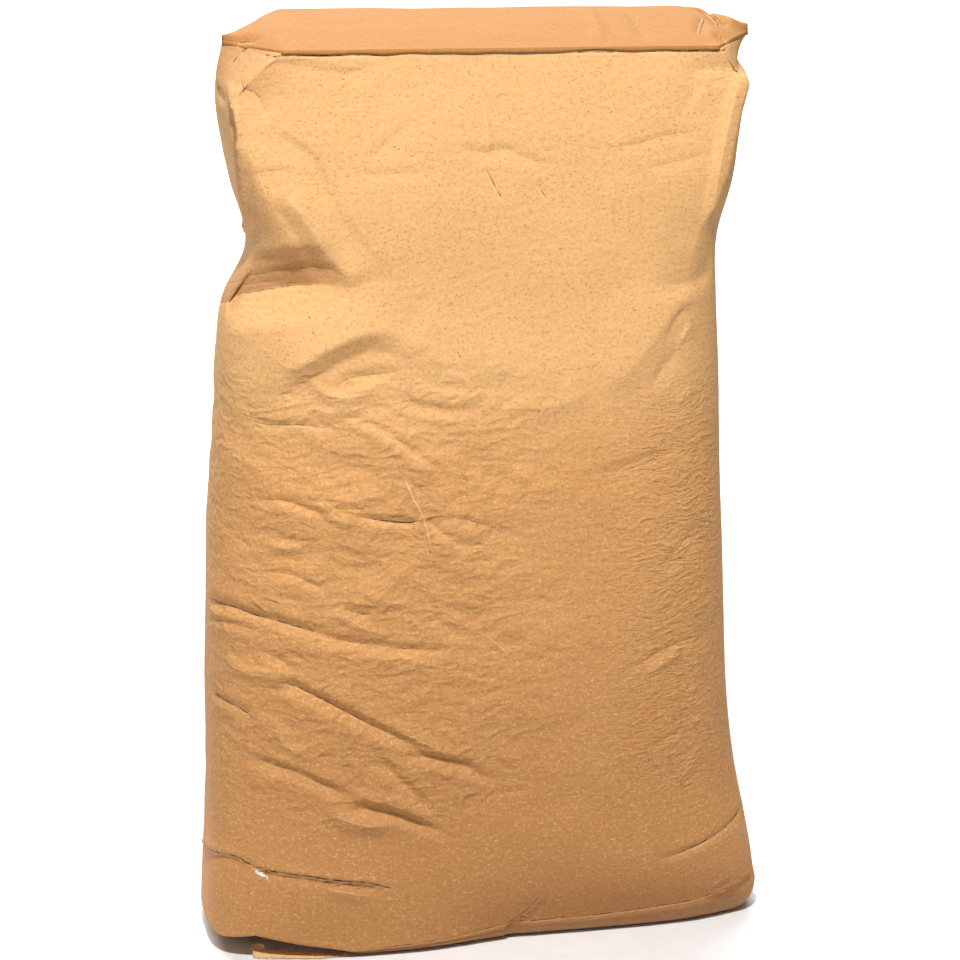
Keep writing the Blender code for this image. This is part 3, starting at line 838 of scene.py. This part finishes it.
    def crumple(self, paper: Paper) -> None:
        """Add the small uneven creases that all used paper has."""
        share = paper.upward / self.form.top_crease
        x = paper.across
        left = 1.0 - smooth(-0.03, 0.09, x)
        belly = smooth(0.12, 0.20, share) * (1.0 - smooth(0.62, 0.70, share))
        low = smooth(0.04, 0.12, share) * (1.0 - smooth(0.36, 0.46, share))
        spots = np.column_stack([x, paper.upward])
        drift = np.column_stack(
            [noise_at(np.column_stack([spots, 0 * x]), (30.0, 30.0, 1.0), seed) for seed in (2.3, 7.9)]
        )
        spots = spots + 0.008 * drift
        relief = np.zeros(len(spots))
        for layer in CRUMPLES:
            turned = np.column_stack(
                [
                    (spots[:, 0] * cos(layer.turn) + spots[:, 1] * sin(layer.turn)) / layer.stretch,
                    spots[:, 1] * cos(layer.turn) - spots[:, 0] * sin(layer.turn),
                    0.0 * x,
                ]
            )
            weight = layer.everywhere + layer.at_left * left * belly + layer.at_foot * left * low
            rate = 1.0 / layer.size
            relief += layer.height * weight * np.abs(noise_at(turned, (rate, rate, rate), layer.seed))
        edge = 0.35 + 0.65 * (1.0 - smooth(0.12, 0.17, np.abs(x)))
        edge *= 0.30 + 0.58 * smooth(0.32, 0.50, share)
        edge *= 1.0 - smooth(0.34, 0.40, np.abs(x))
        relief = relief * edge + 1.4 * MM * noise_at(paper.points, (11.0, 11.0, 11.0), 1.7)
        self.lines["crumple"] = 0.22 + 0.78 * left * belly
        self.lines["oblique"] = smooth(0.04, 0.12, x) * smooth(0.10, 0.22, share) * (1.0 - smooth(0.55, 0.70, share))
        ends = smooth(0.0, 0.05, share) * (1.0 - smooth(0.95, 1.0, share))
        paper.find_normals()
        paper.lift(relief * ends)

    def close_ends(self, paper: Paper) -> list[Array]:
        """Add the underside and the top of the folded ends to the wall.

        Args:
            paper: The finished wall.

        Returns:
            All rings, from the middle of the underside to the top.
        """
        count = paper.columns
        foot = paper.points[:count]
        head = paper.points[-count:]
        corner = (1.0 - smooth(-0.120, -0.085, foot[:, 0])) * (foot[:, 1] < 0)
        reach = self.under_reach + self.corner_reach * corner
        for step in range(1, self.under_steps + 1):
            turn = step / self.under_steps * pi / 2
            inward = reach / (0.88 * self.form.half_depth) * (1.0 - cos(turn))
            ring = foot.copy()
            ring[:, 0] *= 1.0 - 0.06 * (1.0 - cos(turn))
            ring[:, 1] *= 1.0 - inward
            rise = (1.0 - corner) * (1.0 - sin(turn)) + corner * cos(turn)
            ring[:, 2] = self.flat_height + (foot[:, 2] - self.flat_height) * rise
            self.underside.append(ring)
        middle = head.mean(axis=0)
        closing = []
        for step in range(1, self.rim_steps + 1):
            ring = head + (middle - head) * (0.03 * step)
            ring[:, 2] = head[:, 2] - 1.5 * MM * step
            closing.append(ring)
        self.rim = head
        wall = list(paper.points.reshape(paper.rows, count, 3))
        return self.underside[::-1] + wall + closing

    def notes(self, paper: Paper) -> dict[str, Array]:
        """Return the values of all points, with those of the closed ends."""
        count = paper.columns
        place = np.column_stack([paper.across, paper.upward, np.zeros(len(paper.upward))])
        foot, head = place[:count], place[-count:]
        step_down, step_up = np.array((0.0, 3.0 * MM, 0.0)), np.array((0.0, 2.0 * MM, 0.0))
        under = [foot - step_down * (k + 1) for k in range(self.under_steps)][::-1]
        over = [head + step_up * (k + 1) for k in range(self.rim_steps)]
        made = {"paper_place": np.vstack([*under, place, *over])}
        below, above = np.zeros(count * self.under_steps), np.zeros(count * self.rim_steps)
        for label, noted in self.lines.items():
            made[label] = np.concatenate([below, noted, above])
        first = len(below) - count
        made["line_distance"][: len(below)] = made["paper_place"][: len(below), 1] - foot[0, 1]
        made["line_strength"][first : len(below)] = self.lines["line_strength"][:count]
        x, z = made["paper_place"][:, 0], made["paper_place"][:, 1]
        made["scuff"] = smooth(0.02, 0.08, x) * (1.0 - smooth(0.17, 0.19, x))
        made["scuff"] *= smooth(0.04, 0.09, z) * (1.0 - smooth(0.27, 0.31, z))
        # Painted shade on the underside, strongest towards its middle.
        under = np.arange(len(below)) // count
        painted_underside_shade = np.concatenate([0.35 + 0.4 * (1.0 - under / self.under_steps), 0.0 * paper.across, above])
        # Painted shade near the floor, stronger towards the right of the foot.
        painted_foot_shade = (1.0 - smooth(0.012, 0.060, z)) * (0.10 + 0.25 * smooth(-0.12, 0.08, x) * (1.0 - smooth(0.20, 0.34, x)))
        made["painted_shade"] = np.maximum(painted_underside_shade, painted_foot_shade)
        # Painted shade: darker at the top left corner and on the top of the left side.
        corner = (1.0 - smooth(-0.150, -0.105, x)) * smooth(0.94, 0.97, z / self.form.top_crease)
        corner *= smooth(-0.27, -0.21, x)
        made["painted_shade"] = np.maximum(np.maximum(made["painted_shade"], 0.34 * corner), made["shade"])
        return made

    def build(self) -> bpy.types.Object:
        """Make the sack's body."""
        paper = self.plan()
        self.fold(paper, NECK_FOLDS, forward=True)
        self.fold(paper, TOP_FOLDS + BELLY_FOLDS + FOOT_FOLDS)
        self.crumple(paper)
        self.note_edges(paper)
        points, faces = ringed_skin(self.close_ends(paper))
        self.paper = paper
        return make_object("sand_sack_paper", points, faces, self.notes(paper))


@dataclass
class TopSheet:
    """The sheet pasted over the folded top end, its front edge standing proud."""

    body: SackBody
    across_steps: int = 240
    deep_steps: int = 26
    crown: float = 3.5 * MM
    lift: float = 0.7 * MM
    thickness: float = 0.3 * MM
    overhang: float = 0.9 * MM

    def edges(self) -> tuple[Array, Array]:
        """Return the front and the back edge of the end, from left to right."""
        rim, body = self.body.rim, self.body
        half = body.side_steps // 2
        right = body.front_steps
        back = right + body.side_steps
        left = back + body.back_steps
        front_edge = np.vstack([rim[left + half :], rim[: right + half + 1]])
        back_edge = rim[right + half : left + half + 1][::-1]
        return front_edge, back_edge

    def build(self) -> bpy.types.Object:
        """Make the sheet with its overhanging front edge."""
        front, back = self.edges()
        low, high = front[0, 0], front[-1, 0]
        t = np.arange(self.across_steps + 1) / self.across_steps
        x = low + (high - low) * t
        wave = noise_at(np.column_stack([x, x * 0, x * 0]), (26.0, 1.0, 1.0), 4.4)
        rows = []
        edge_y = np.interp(x, front[:, 0], front[:, 1])
        edge_z = np.interp(x, front[:, 0], front[:, 2])
        back_y = np.interp(x, back[:, 0], back[:, 1])
        back_z = np.interp(x, back[:, 0], back[:, 2])
        proud = self.overhang * (1.0 + 0.5 * wave)
        ripple = noise_at(np.column_stack([x, x * 0, x * 0]), (55.0, 1.0, 1.0), 8.1)
        lowered = self.body.lip_drop * (1.0 + 0.45 * ripple + 0.5 * wave)
        for out, share in ((1.0, 1.0), (1.0, 0.5), (0.7, 0.0)):
            rows.append(np.column_stack([x, edge_y - proud * out, edge_z + self.lift - lowered * share]))
        for step in range(self.deep_steps + 1):
            v = step / self.deep_steps
            z = edge_z + (back_z - edge_z) * v + self.lift + self.crown * 4 * v * (1 - v)
            rows.append(np.column_stack([x, edge_y + (back_y - edge_y) * v, z]))
        rows.append(np.column_stack([x, back_y + 0.6 * MM, back_z - 2.5 * MM]))
        grid = np.array(rows)
        swell = noise_at(grid.reshape(-1, 3), (30.0, 60.0, 30.0), 2.2).reshape(grid.shape[:2])
        inside = np.array([max(0.0, min(1.0, (k - 2) / 5)) for k in range(len(rows))])
        grid[:, :, 2] += 0.7 * MM * swell * inside[:, None]
        count = len(x)
        faces = [
            (r * count + i, r * count + i + 1, (r + 1) * count + i + 1, (r + 1) * count + i)
            for r in range(len(rows) - 1)
            for i in range(count - 1)
        ]
        points = self.fold(grid.reshape(-1, 3), faces)
        place = np.column_stack([points[:, 0], points[:, 1] + 0.7, np.zeros(len(points))])
        values = {
            "paper_place": place,
            "line_distance": self.line_distance,
            "line_strength": self.line_strength,
            "crest": np.zeros(len(points)),
            "crumple": np.full(len(points), 0.15),
            "oblique": np.zeros(len(points)),
            "painted_shade": np.zeros(len(points)),
        }
        made = make_object("top_sheet", points, faces, values)
        solid = made.modifiers.new("thickness", "SOLIDIFY")
        solid.thickness = self.thickness
        solid.offset = 1.0
        return made

    def fold(self, points: Array, faces: Sequence[tuple[int, ...]]) -> Array:
        """Work the sheet's own creases into it.

        Args:
            points: The points of the smooth sheet.
            faces: Its faces.

        Returns:
            The moved points.
        """
        tree = BVHTree.FromPolygons([Vector(point) for point in points], faces)
        flat = points[:, :2]
        relief = np.zeros(len(points))
        self.line_distance = np.full(len(points), 1.0)
        self.line_strength = np.zeros(len(points))
        for crease in SHEET_FOLDS:
            hits = [cast(self.body.view, tree, pixel)[0] for pixel in crease.course]
            course = rounded_course(np.array([(hit.x, hit.y) for hit in hits]))
            distance, along = measure_from(course, flat)
            relief += crease.relief(distance, along)
            # A positive line paints a dark line of painted shade in the sheet's crease.
            if crease.line > 0:
                closer = np.abs(distance) < np.abs(self.line_distance)
                strength = crease.line * crease.strength(along)
                self.line_distance = np.where(closer, distance, self.line_distance)
                self.line_strength = np.where(closer, strength, self.line_strength)
        moved = points.copy()
        moved[:, 2] += relief
        return moved


@dataclass
class SandHeap:
    """The settled sand, which follows the folds of the paper from inside."""

    body: SackBody
    fill_share: float = 0.66
    every: int = 2
    inset: float = 4.5 * MM
    crown: float = 9 * MM
    top_steps: int = 14

    def build(self) -> bpy.types.Object:
        """Make the sand."""
        paper = self.body.paper
        paper.find_normals()
        inner = (paper.points - paper.normals * self.inset).reshape(paper.rows, -1, 3)
        last = round(self.fill_share * (paper.rows - 1))
        rings = [ring[:: self.every].copy() for ring in inner[2 : last + 1 : self.every]]
        middle = rings[-1].mean(axis=0)
        floor = self.body.flat_height + self.inset
        under = []
        for ring in self.body.underside[:: self.every]:
            moved = ring[:: self.every] * np.array((0.985, 0.96, 1.0))
            moved[:, 2] = np.maximum(moved[:, 2] + self.inset, floor)
            under.append(moved)
        top = []
        for step in range(1, self.top_steps + 1):
            share = step / (self.top_steps + 1)
            ring = rings[-1] + (middle - rings[-1]) * share
            ring[:, 2] += self.crown * (1.0 - (1.0 - share) ** 2)
            ring[:, 2] += 1.2 * MM * noise_at(ring, (45.0, 45.0, 1.0), 6.2)
            top.append(ring)
        points, faces = ringed_skin(under[::-1] + rings + top)
        return make_object("sand_heap", points, faces, {})


@dataclass
class BottomSheet:
    """The sheet pasted under the bottom end, with the strip torn from its edge."""

    body: SackBody
    gap: float = 0.45 * MM
    first_ring: int = 1
    strip_width: float = 7.5 * MM
    strip_steps: int = 60
    strip_cross: int = 6
    curl_radius: float = 3.6 * MM
    curl_steps: int = 14

    def build(self) -> bpy.types.Object:
        """Make the sheet that follows the underside, and its strip."""
        rings = []
        for ring in self.body.underside[self.first_ring :]:
            lowered = ring.copy()
            lowered[:, 2] -= self.gap
            rings.append(lowered)
        count = len(rings[0])
        faces: list[tuple[int, ...]] = []
        for k in range(len(rings) - 1):
            faces += ring_faces((k + 1) * count, k * count, count)
        last = (len(rings) - 1) * count
        faces.append(tuple(range(last, last + count))[::-1])
        points = np.vstack(rings)
        strip_points, strip_faces = self.strip()
        faces += [tuple(len(points) + i for i in face) for face in strip_faces]
        points = np.vstack([points, strip_points])
        place = np.column_stack([points[:, 0] + 0.4, points[:, 1] + 1.3, np.zeros(len(points))])
        values = {
            "paper_place": place,
            "line_distance": np.full(len(points), 1.0),
            "line_strength": np.zeros(len(points)),
            "crest": np.zeros(len(points)),
            "crumple": np.full(len(points), 0.15),
            "oblique": np.zeros(len(points)),
            # Painted shade on the sheet under the sack; the strip keeps its own colour.
            "painted_shade": np.where(np.arange(len(points)) < len(points) - len(strip_points), 0.72, 0.0),
        }
        return make_object("bottom_sheet", points, faces, values)

    def strip(self) -> tuple[Array, list[tuple[int, ...]]]:
        """Make the torn strip, which lies out to the left and curls up at its end.

        Returns:
            The points and the faces of the strip, both sides.
        """
        points = []
        places = [(-0.086, -0.0600), (-0.100, -0.0615), (-0.118, -0.0605), (-0.134, -0.0565), (-0.147, -0.0535)]
        course = rounded_course(np.array(places), 12)
        total = len(course)
        for k, (x, y) in enumerate(course):
            t = k / (total - 1)
            width = self.strip_width * float(0.2 + 0.8 * smooth(0.0, 0.6, np.array(t)))
            points += self.cross_section(x, y, width, radians(6 + 16 * t))
        for k in range(1, self.curl_steps + 1):
            turn = k / self.curl_steps * pi * 1.45
            x = course[-1][0] - self.curl_radius * sin(turn)
            y = course[-1][1] + self.curl_radius * (1.0 - cos(turn))
            width = self.strip_width * (1.0 - 0.25 * k / self.curl_steps)
            points += self.cross_section(x, y, width, radians(22 + 45 * k / self.curl_steps))
        rows = len(points) // (self.strip_cross + 1)
        faces = []
        for r in range(rows - 1):
            for j in range(self.strip_cross):
                a = r * (self.strip_cross + 1) + j
                b = a + self.strip_cross + 1
                faces.append((a, b, b + 1, a + 1))
        return np.array(points), faces

    def cross_section(self, x: float, y: float, width: float, tilt: float) -> list[tuple[float, ...]]:
        """Return the points across the strip, from its foot on the floor upwards."""
        points = []
        for j in range(self.strip_cross + 1):
            side = j / self.strip_cross
            bend = 0.10 * width * 4 * side * (1 - side)
            across = width * side * cos(tilt) - bend * sin(tilt)
            points.append((x, y + across, 0.6 * MM + width * side * sin(tilt) + bend * cos(tilt)))
        return points


class Value:
    """A socket of a shader that stands in Python expressions as a number."""

    def __init__(self, graph: "Graph", socket: Any) -> None:
        """Wrap a socket of the graph."""
        self.graph = graph
        self.socket = socket

    def joined(self, operation: str, first: Any, second: Any) -> "Value":
        """Return a Math node's result on two values or numbers."""
        return self.graph.node("ShaderNodeMath", {"operation": operation}, {0: first, 1: second})

    def __add__(self, other: Any) -> "Value":
        """Return self + other."""
        return self.joined("ADD", self, other)

    def __sub__(self, other: Any) -> "Value":
        """Return self - other."""
        return self.joined("SUBTRACT", self, other)

    def __rsub__(self, other: Any) -> "Value":
        """Return other - self."""
        return self.joined("SUBTRACT", other, self)

    def __mul__(self, other: Any) -> "Value":
        """Return self * other."""
        return self.joined("MULTIPLY", self, other)

    def __truediv__(self, other: Any) -> "Value":
        """Return self / other."""
        return self.joined("DIVIDE", self, other)

    def __pow__(self, other: Any) -> "Value":
        """Return self raised to other."""
        return self.joined("POWER", self, other)

    def __abs__(self) -> "Value":
        """Return the value without its sign."""
        return self.joined("ABSOLUTE", self, 0.0)

    __radd__ = __add__
    __rmul__ = __mul__

    def step(self, low: float, high: float) -> "Value":
        """Return a smooth step from 0 at low to 1 at high."""
        settings = {"interpolation_type": "SMOOTHSTEP"}
        values = {"Value": self, "From Min": low, "From Max": high}
        return self.graph.node("ShaderNodeMapRange", settings, values)


class Graph:
    """The nodes of one material."""

    def __init__(self, name: str) -> None:
        """Start a material with nothing but its output."""
        self.material = bpy.data.materials.new(name)
        self.material.use_nodes = True
        self.tree = self.material.node_tree
        self.tree.nodes.clear()

    def node(
        self, kind: str, settings: dict[str, Any], values: dict[Any, Any], output: Any = 0
    ) -> Value:
        """Add a node.

        Args:
            kind: The node's type.
            settings: What the node itself is set to.
            values: What its sockets are given: links, numbers or tuples.
            output: Which of its outputs is wanted.

        Returns:
            The wanted output.
        """
        made = self.tree.nodes.new(kind)
        for label, setting in settings.items():
            setattr(made, label, setting)
        for label, given in values.items():
            socket = made.inputs[label]
            if isinstance(given, Value):
                self.tree.links.new(given.socket, socket)
            elif isinstance(given, tuple) and len(given) == 3 and socket.type == "RGBA":
                socket.default_value = (*given, 1.0)
            else:
                socket.default_value = given
        return Value(self, made.outputs[output] if made.outputs else None)

    def noted(self, label: str, output: str = "Fac") -> Value:
        """Return what is noted on the points of the mesh."""
        settings = {"attribute_type": "GEOMETRY", "attribute_name": label}
        return self.node("ShaderNodeAttribute", settings, {}, output)

    def stretched(self, place: Value, scale: tuple[float, float, float]) -> Value:
        """Return a place with its axes stretched."""
        return self.node("ShaderNodeVectorMath", {"operation": "MULTIPLY"}, {0: place, 1: scale})

    def noise(self, place: Value, scale: float, detail: float = 2.0, rough: float = 0.5) -> Value:
        """Return smooth noise from 0 to 1."""
        values = {"Vector": place, "Scale": scale, "Detail": detail, "Roughness": rough}
        return self.node("ShaderNodeTexNoise", {"noise_dimensions": "3D"}, values)

    def cells(self, place: Value, scale: float, feature: str = "F1", output: str = "Distance") -> Value:
        """Return a value of the cells that fill the space."""
        settings = {"feature": feature, "voronoi_dimensions": "3D"}
        return self.node("ShaderNodeTexVoronoi", settings, {"Vector": place, "Scale": scale}, output)

    def mix(self, share: Value, first: Any, second: Any) -> Value:
        """Return a colour between two colours."""
        values = {0: share, 6: first, 7: second}
        return self.node("ShaderNodeMix", {"data_type": "RGBA"}, values, 2)

    def bump(self, height: Value, distance: float) -> Value:
        """Return a surface direction that follows a height."""
        return self.node("ShaderNodeBump", {}, {"Height": height, "Strength": 1.0, "Distance": distance})

    def finish(self, values: dict[str, Any]) -> bpy.types.Material:
        """Close the material with a Principled shader."""
        shader = self.node("ShaderNodeBsdfPrincipled", {}, values)
        self.node("ShaderNodeOutputMaterial", {}, {"Surface": shader})
        return self.material


Colour = tuple[float, float, float]


@dataclass(frozen=True)
class KraftPaper:
    """Brown kraft paper: fibres, specks, blotches, worn creases and scuffs, with painted shade in crease roots, under
    edges and where shade falls on the sack, and optionally a painted light gradient by height.
    """

    name: str
    base: Colour = (0.650, 0.322, 0.112)
    # The next two colours paint a light gradient by height: darker towards the bottom, paler towards the top.
    low: Colour = (0.560, 0.262, 0.088)
    painted_top_light: Colour = (0.690, 0.385, 0.155)
    # Painted shade colour, mixed in where shade falls on the sack.
    painted_shade_colour: Colour = (0.230, 0.088, 0.030)
    pale: Colour = (0.800, 0.480, 0.220)
    torn: Colour = (0.930, 0.900, 0.860)
    deep: Colour = (0.450, 0.210, 0.068)
    speck: Colour = (0.180, 0.075, 0.028)
    fleck: Colour = (0.840, 0.580, 0.330)
    # Painted shade colour of the dark lines in crease roots and under edges.
    crease_shadow: Colour = (0.100, 0.042, 0.020)
    grime: Colour = (0.230, 0.170, 0.110)
    roughness: float = 0.74
    specular: float = 0.25
    # Whether the paper gets its scuffs and the painted light gradient by height.
    scuffed_and_height_shaded: bool = False

    def make(self) -> bpy.types.Material:
        """Build the material."""
        g = Graph(self.name)
        place = g.noted("paper_place", "Vector")
        grain = g.noise(place, 680.0, 3.0, 0.7)
        fibre = g.noise(g.stretched(place, (0.7, 1.0, 1.0)), 430.0, 2.0, 0.6)
        paper = self.tinted(g, place, grain, fibre)
        distance, strength = g.noted("line_distance"), g.noted("line_strength")
        uneven = 0.45 + 0.55 * g.noise(place, 210.0).step(0.35, 0.62)
        wide = 0.00030 + 0.00038 * abs(strength)
        core = 1.0 - (abs(distance) / wide).step(0.25, 1.0)
        # Painted shade: a dark line where the noted strength is positive, in crease roots and under the top sheet's
        # edge.
        dark = core * strength.step(0.0, 1.0)
        paper = g.mix((dark * uneven).step(0.35, 1.0), paper, self.crease_shadow)
        light = core * (0.0 - strength).step(0.0, 1.0)
        paper = g.mix(light * uneven, paper, self.fleck)
        paper = g.mix(core * (0.0 - strength).step(1.2, 1.8), paper, self.torn)
        beside = (1.0 - abs(distance + 0.0012).step(0.0003, 0.0010)) * strength.step(0.0, 1.0) * 0.30
        paper = g.mix(beside * uneven, paper, self.fleck)
        wrinkle = g.noise(g.stretched(place, (1.0, 1.6, 1.0)), 95.0, 3.0, 0.5)
        height = grain * 0.05 + fibre * 0.03 + wrinkle * 0.22
        height = height + self.creases(g, place) - dark * 0.25 + light * 0.15
        return g.finish(
            {
                "Base Color": paper,
                "Roughness": self.roughness + (grain - 0.5) * 0.18,
                "Specular IOR Level": self.specular,
                "Normal": g.bump(height, MM),
            }
        )

    def creases(self, g: "Graph", place: "Value") -> "Value":
        """Return the height of the fine crumples, in millimetres."""
        drift = g.node("ShaderNodeTexNoise", {}, {"Vector": place, "Scale": 40.0, "Detail": 2.0}, "Color")
        moved = g.node("ShaderNodeVectorMath", {"operation": "MULTIPLY_ADD"}, {0: drift, 1: (0.012, 0.012, 0.0), 2: place})
        total = 0.0
        for scale, turn, stretch, height in (
            (48.0, radians(24), 1.9, -3.2),
            (75.0, radians(-28), 1.5, 1.6),
            (120.0, radians(18), 1.6, -1.0),
            (210.0, radians(-40), 1.3, 0.5),
        ):
            turned = g.node(
                "ShaderNodeMapping", {}, {"Vector": moved, "Rotation": (0.0, 0.0, turn), "Scale": (1.0, stretch, 1.0)}
            )
            total = total + abs(g.noise(turned, scale, 1.0) - 0.5) * height
        turned = g.node(
            "ShaderNodeMapping", {}, {"Vector": moved, "Rotation": (0.0, 0.0, radians(-52)), "Scale": (1.0, 3.0, 1.0)}
        )
        oblique = abs(g.noise(turned, 70.0, 2.0) - 0.5) * 3.0 - abs(g.noise(turned, 160.0, 1.0) - 0.5) * 1.2
        return total * g.noted("crumple") + oblique * g.noted("oblique")

    def tinted(self, g: "Graph", place: "Value", grain: "Value", fibre: "Value") -> "Value":
        """Return the colour of the paper with its specks, worn creases and scuffs, its optional painted light gradient
        by height and its painted shade.
        """
        height = g.node("ShaderNodeSeparateXYZ", {}, {"Vector": place}, "Y")
        cloud = g.noise(place, 26.0, 4.0, 0.6)
        streak = g.noise(g.stretched(place, (0.06, 1.0, 1.0)), 420.0, 2.0, 0.5)
        tone = (grain - 0.5) * 3.0 + (fibre - 0.5) * 1.7 + (cloud - 0.5) * 0.5 + (streak - 0.5) * 0.25
        base = self.base
        # Painted light: darker towards the bottom and paler towards the top, for how the light falls on the sack.
        if self.scuffed_and_height_shaded:
            base = g.mix(height.step(0.08, 0.26), self.low, self.base)
            base = g.mix(height.step(0.29, 0.37), base, self.painted_top_light)
        paper = g.mix(tone.step(0.0, 0.90) * 0.9, base, self.pale)
        paper = g.mix((0.0 - tone).step(0.0, 0.90) * 0.9, paper, self.deep)
        dark_cells = g.cells(place, 150.0)
        dark = (1.0 - dark_cells.step(0.05, 0.10)) * g.noise(place, 70.0).step(0.50, 0.62)
        paper = g.mix(dark * 0.75, paper, self.speck)
        light_cells = g.cells(g.stretched(place, (1.0, 1.3, 1.0)), 118.0)
        light = (1.0 - light_cells.step(0.05, 0.11)) * g.noise(place, 55.0).step(0.52, 0.60)
        paper = g.mix(light * 0.45, paper, self.fleck)
        if self.scuffed_and_height_shaded:
            region = g.noted("scuff")
            patches = g.noise(place, 48.0, 3.0, 0.6).step(0.50, 0.68)
            dots = g.noise(g.stretched(place, (1.0, 0.7, 1.0)), 620.0, 2.0, 0.6).step(0.52, 0.66)
            paper = g.mix(region * patches * dots * 0.75, paper, self.grime)
        crest = g.noted("crest").step(0.4, 4.0) * (0.4 + 0.6 * grain.step(0.35, 0.65))
        paper = g.mix(crest * 0.12, paper, self.fleck)
        # Painted shade: the noted value darkens the paper towards dark brown under the sack, near the floor, at the top
        # left and above the deep neck fold.
        return g.mix(g.noted("painted_shade"), paper, self.painted_shade_colour)


@dataclass(frozen=True)
class QuartzSand:
    """Fine dry quartz sand."""

    name: str = "quartz_sand"
    pale: Colour = (0.80, 0.72, 0.58)
    deep: Colour = (0.52, 0.42, 0.29)
    glint: Colour = (0.95, 0.92, 0.86)

    def make(self) -> bpy.types.Material:
        """Build the material."""
        g = Graph(self.name)
        place = g.node("ShaderNodeTexCoord", {}, {}, "Object")
        grains = g.cells(place, 1600.0)
        tint = g.noise(place, 1300.0, 1.0)
        sand = g.mix(tint.step(0.35, 0.70), self.deep, self.pale)
        sand = g.mix(g.noise(place, 900.0).step(0.62, 0.70), sand, self.glint)
        normal = g.bump(1.0 - grains, 0.4 * MM)
        return g.finish({"Base Color": sand, "Roughness": 0.55 + 0.3 * tint, "Normal": normal})


@dataclass(frozen=True)
class Studio:
    """The plain pale floor and the soft lights."""

    floor_reach: float = 6.0
    floor_colour: Colour = (0.90, 0.90, 0.90)
    sky: Colour = (1.0, 1.0, 1.0)
    sky_strength: float = 0.17

    def build(self) -> None:
        """Make the floor, the lights and the sky."""
        self.floor()
        self.spot("key_light", (-0.20, -0.90, 1.52), (0.0, 0.0, 0.36), 0.06, radians(27), 108.0)
        self.lamp("fill_light", (-2.4, -1.3, 0.9), (0.0, 0.0, 0.25), 1.4, 4.5)
        self.lamp("top_light", (0.0, 1.3, 2.3), (0.0, 1.2, 0.0), 2.0, 24.0)
        self.lamp("back_light", (0.0, 4.2, 3.0), (0.0, 3.6, 0.0), 5.0, 420.0)
        world = bpy.data.worlds.new("studio")
        world.use_nodes = True
        background = world.node_tree.nodes["Background"]
        background.inputs["Color"].default_value = (*self.sky, 1.0)
        background.inputs["Strength"].default_value = self.sky_strength
        bpy.context.scene.world = world
        bpy.context.scene.view_settings.view_transform = "Standard"
        LOG.info("studio: floor, four lights and a pale sky")

    def floor(self) -> None:
        """Make the floor."""
        g = Graph("studio_floor")
        place = g.node("ShaderNodeTexCoord", {}, {}, "Object")
        shade = g.noise(place, 60.0, 3.0)
        tint = tuple(part * 0.97 for part in self.floor_colour)
        colour = g.mix(shade.step(0.35, 0.65), self.floor_colour, tint)
        material = g.finish({"Base Color": colour, "Roughness": 0.85 + 0.1 * shade})
        reach = self.floor_reach
        corners = np.array([(-reach, -reach, 0), (reach, -reach, 0), (reach, reach, 0), (-reach, reach, 0)])
        made = make_object("studio_floor", corners, [(0, 1, 2, 3)], {})
        made.data.materials.append(material)

    def lamp(self, name: str, place: Colour, target: Colour, size: float, power: float) -> None:
        """Hang one square lamp that shines at a target.

        Args:
            name: The lamp's name.
            place: Where it hangs.
            target: Where it shines.
            size: The length of its sides, in metres.
            power: Its power, in watts.
        """
        data = bpy.data.lights.new(name, "AREA")
        data.size = size
        self.hang(data, place, target, power)

    def spot(self, name: str, place: Colour, target: Colour, radius: float, cone: float, power: float) -> None:
        """Hang one round lamp with a cone of light, so that the floor in front stays dim.

        Args:
            name: The lamp's name.
            place: Where it hangs.
            target: Where it shines.
            radius: Its radius, in metres.
            cone: The angle of its cone, in radians.
            power: Its power, in watts.
        """
        data = bpy.data.lights.new(name, "SPOT")
        data.shadow_soft_size = radius
        data.spot_size = cone
        data.spot_blend = 0.35
        self.hang(data, place, target, power)

    def hang(self, data: bpy.types.Light, place: Colour, target: Colour, power: float) -> None:
        """Place a lamp so that it shines at a target."""
        data.energy = power
        made = bpy.data.objects.new(data.name, data)
        made.location = place
        made.rotation_mode = "QUATERNION"
        made.rotation_quaternion = (Vector(target) - Vector(place)).to_track_quat("-Z", "Y")
        bpy.context.scene.collection.objects.link(made)


def dress(piece: bpy.types.Object, material: bpy.types.Material, node: str) -> None:
    """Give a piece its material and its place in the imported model."""
    piece.data.materials.append(material)
    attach(piece, BODY)
    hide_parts(node)
    LOG.info("%s stands for %s", piece.name, node)


def main() -> None:
    """Build the whole scene."""
    logging.basicConfig(level=logging.INFO, format="%(message)s")
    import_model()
    view = PhotoView()
    view.build()
    Studio().build()
    form = SackForm(half_width=0.172, half_depth=0.075, bottom_crease=0.012, top_crease=0.551)
    body = SackBody(form, view)
    sack = body.build()
    dress(sack, KraftPaper("kraft_paper", scuffed_and_height_shaded=True).make(), "paper_sack")
    # Painted shade: the top sheet's paper is made darker than the sack's to offset the stronger light on its upward
    # face.
    cover = KraftPaper("cover_paper", base=(0.360, 0.160, 0.044), pale=(0.500, 0.260, 0.100), specular=0.10).make()
    lower_cover = KraftPaper("bottom_cover_paper", base=(0.760, 0.470, 0.220)).make()
    top = TopSheet(body).build()
    dress(top, cover, "top_cover_sheet")
    bottom = BottomSheet(body).build()
    dress(bottom, lower_cover, "bottom_cover_sheet")
    sand = SandHeap(body).build()
    dress(sand, QuartzSand().make(), "sand_fill")


if __name__ == "__main__":
    main()
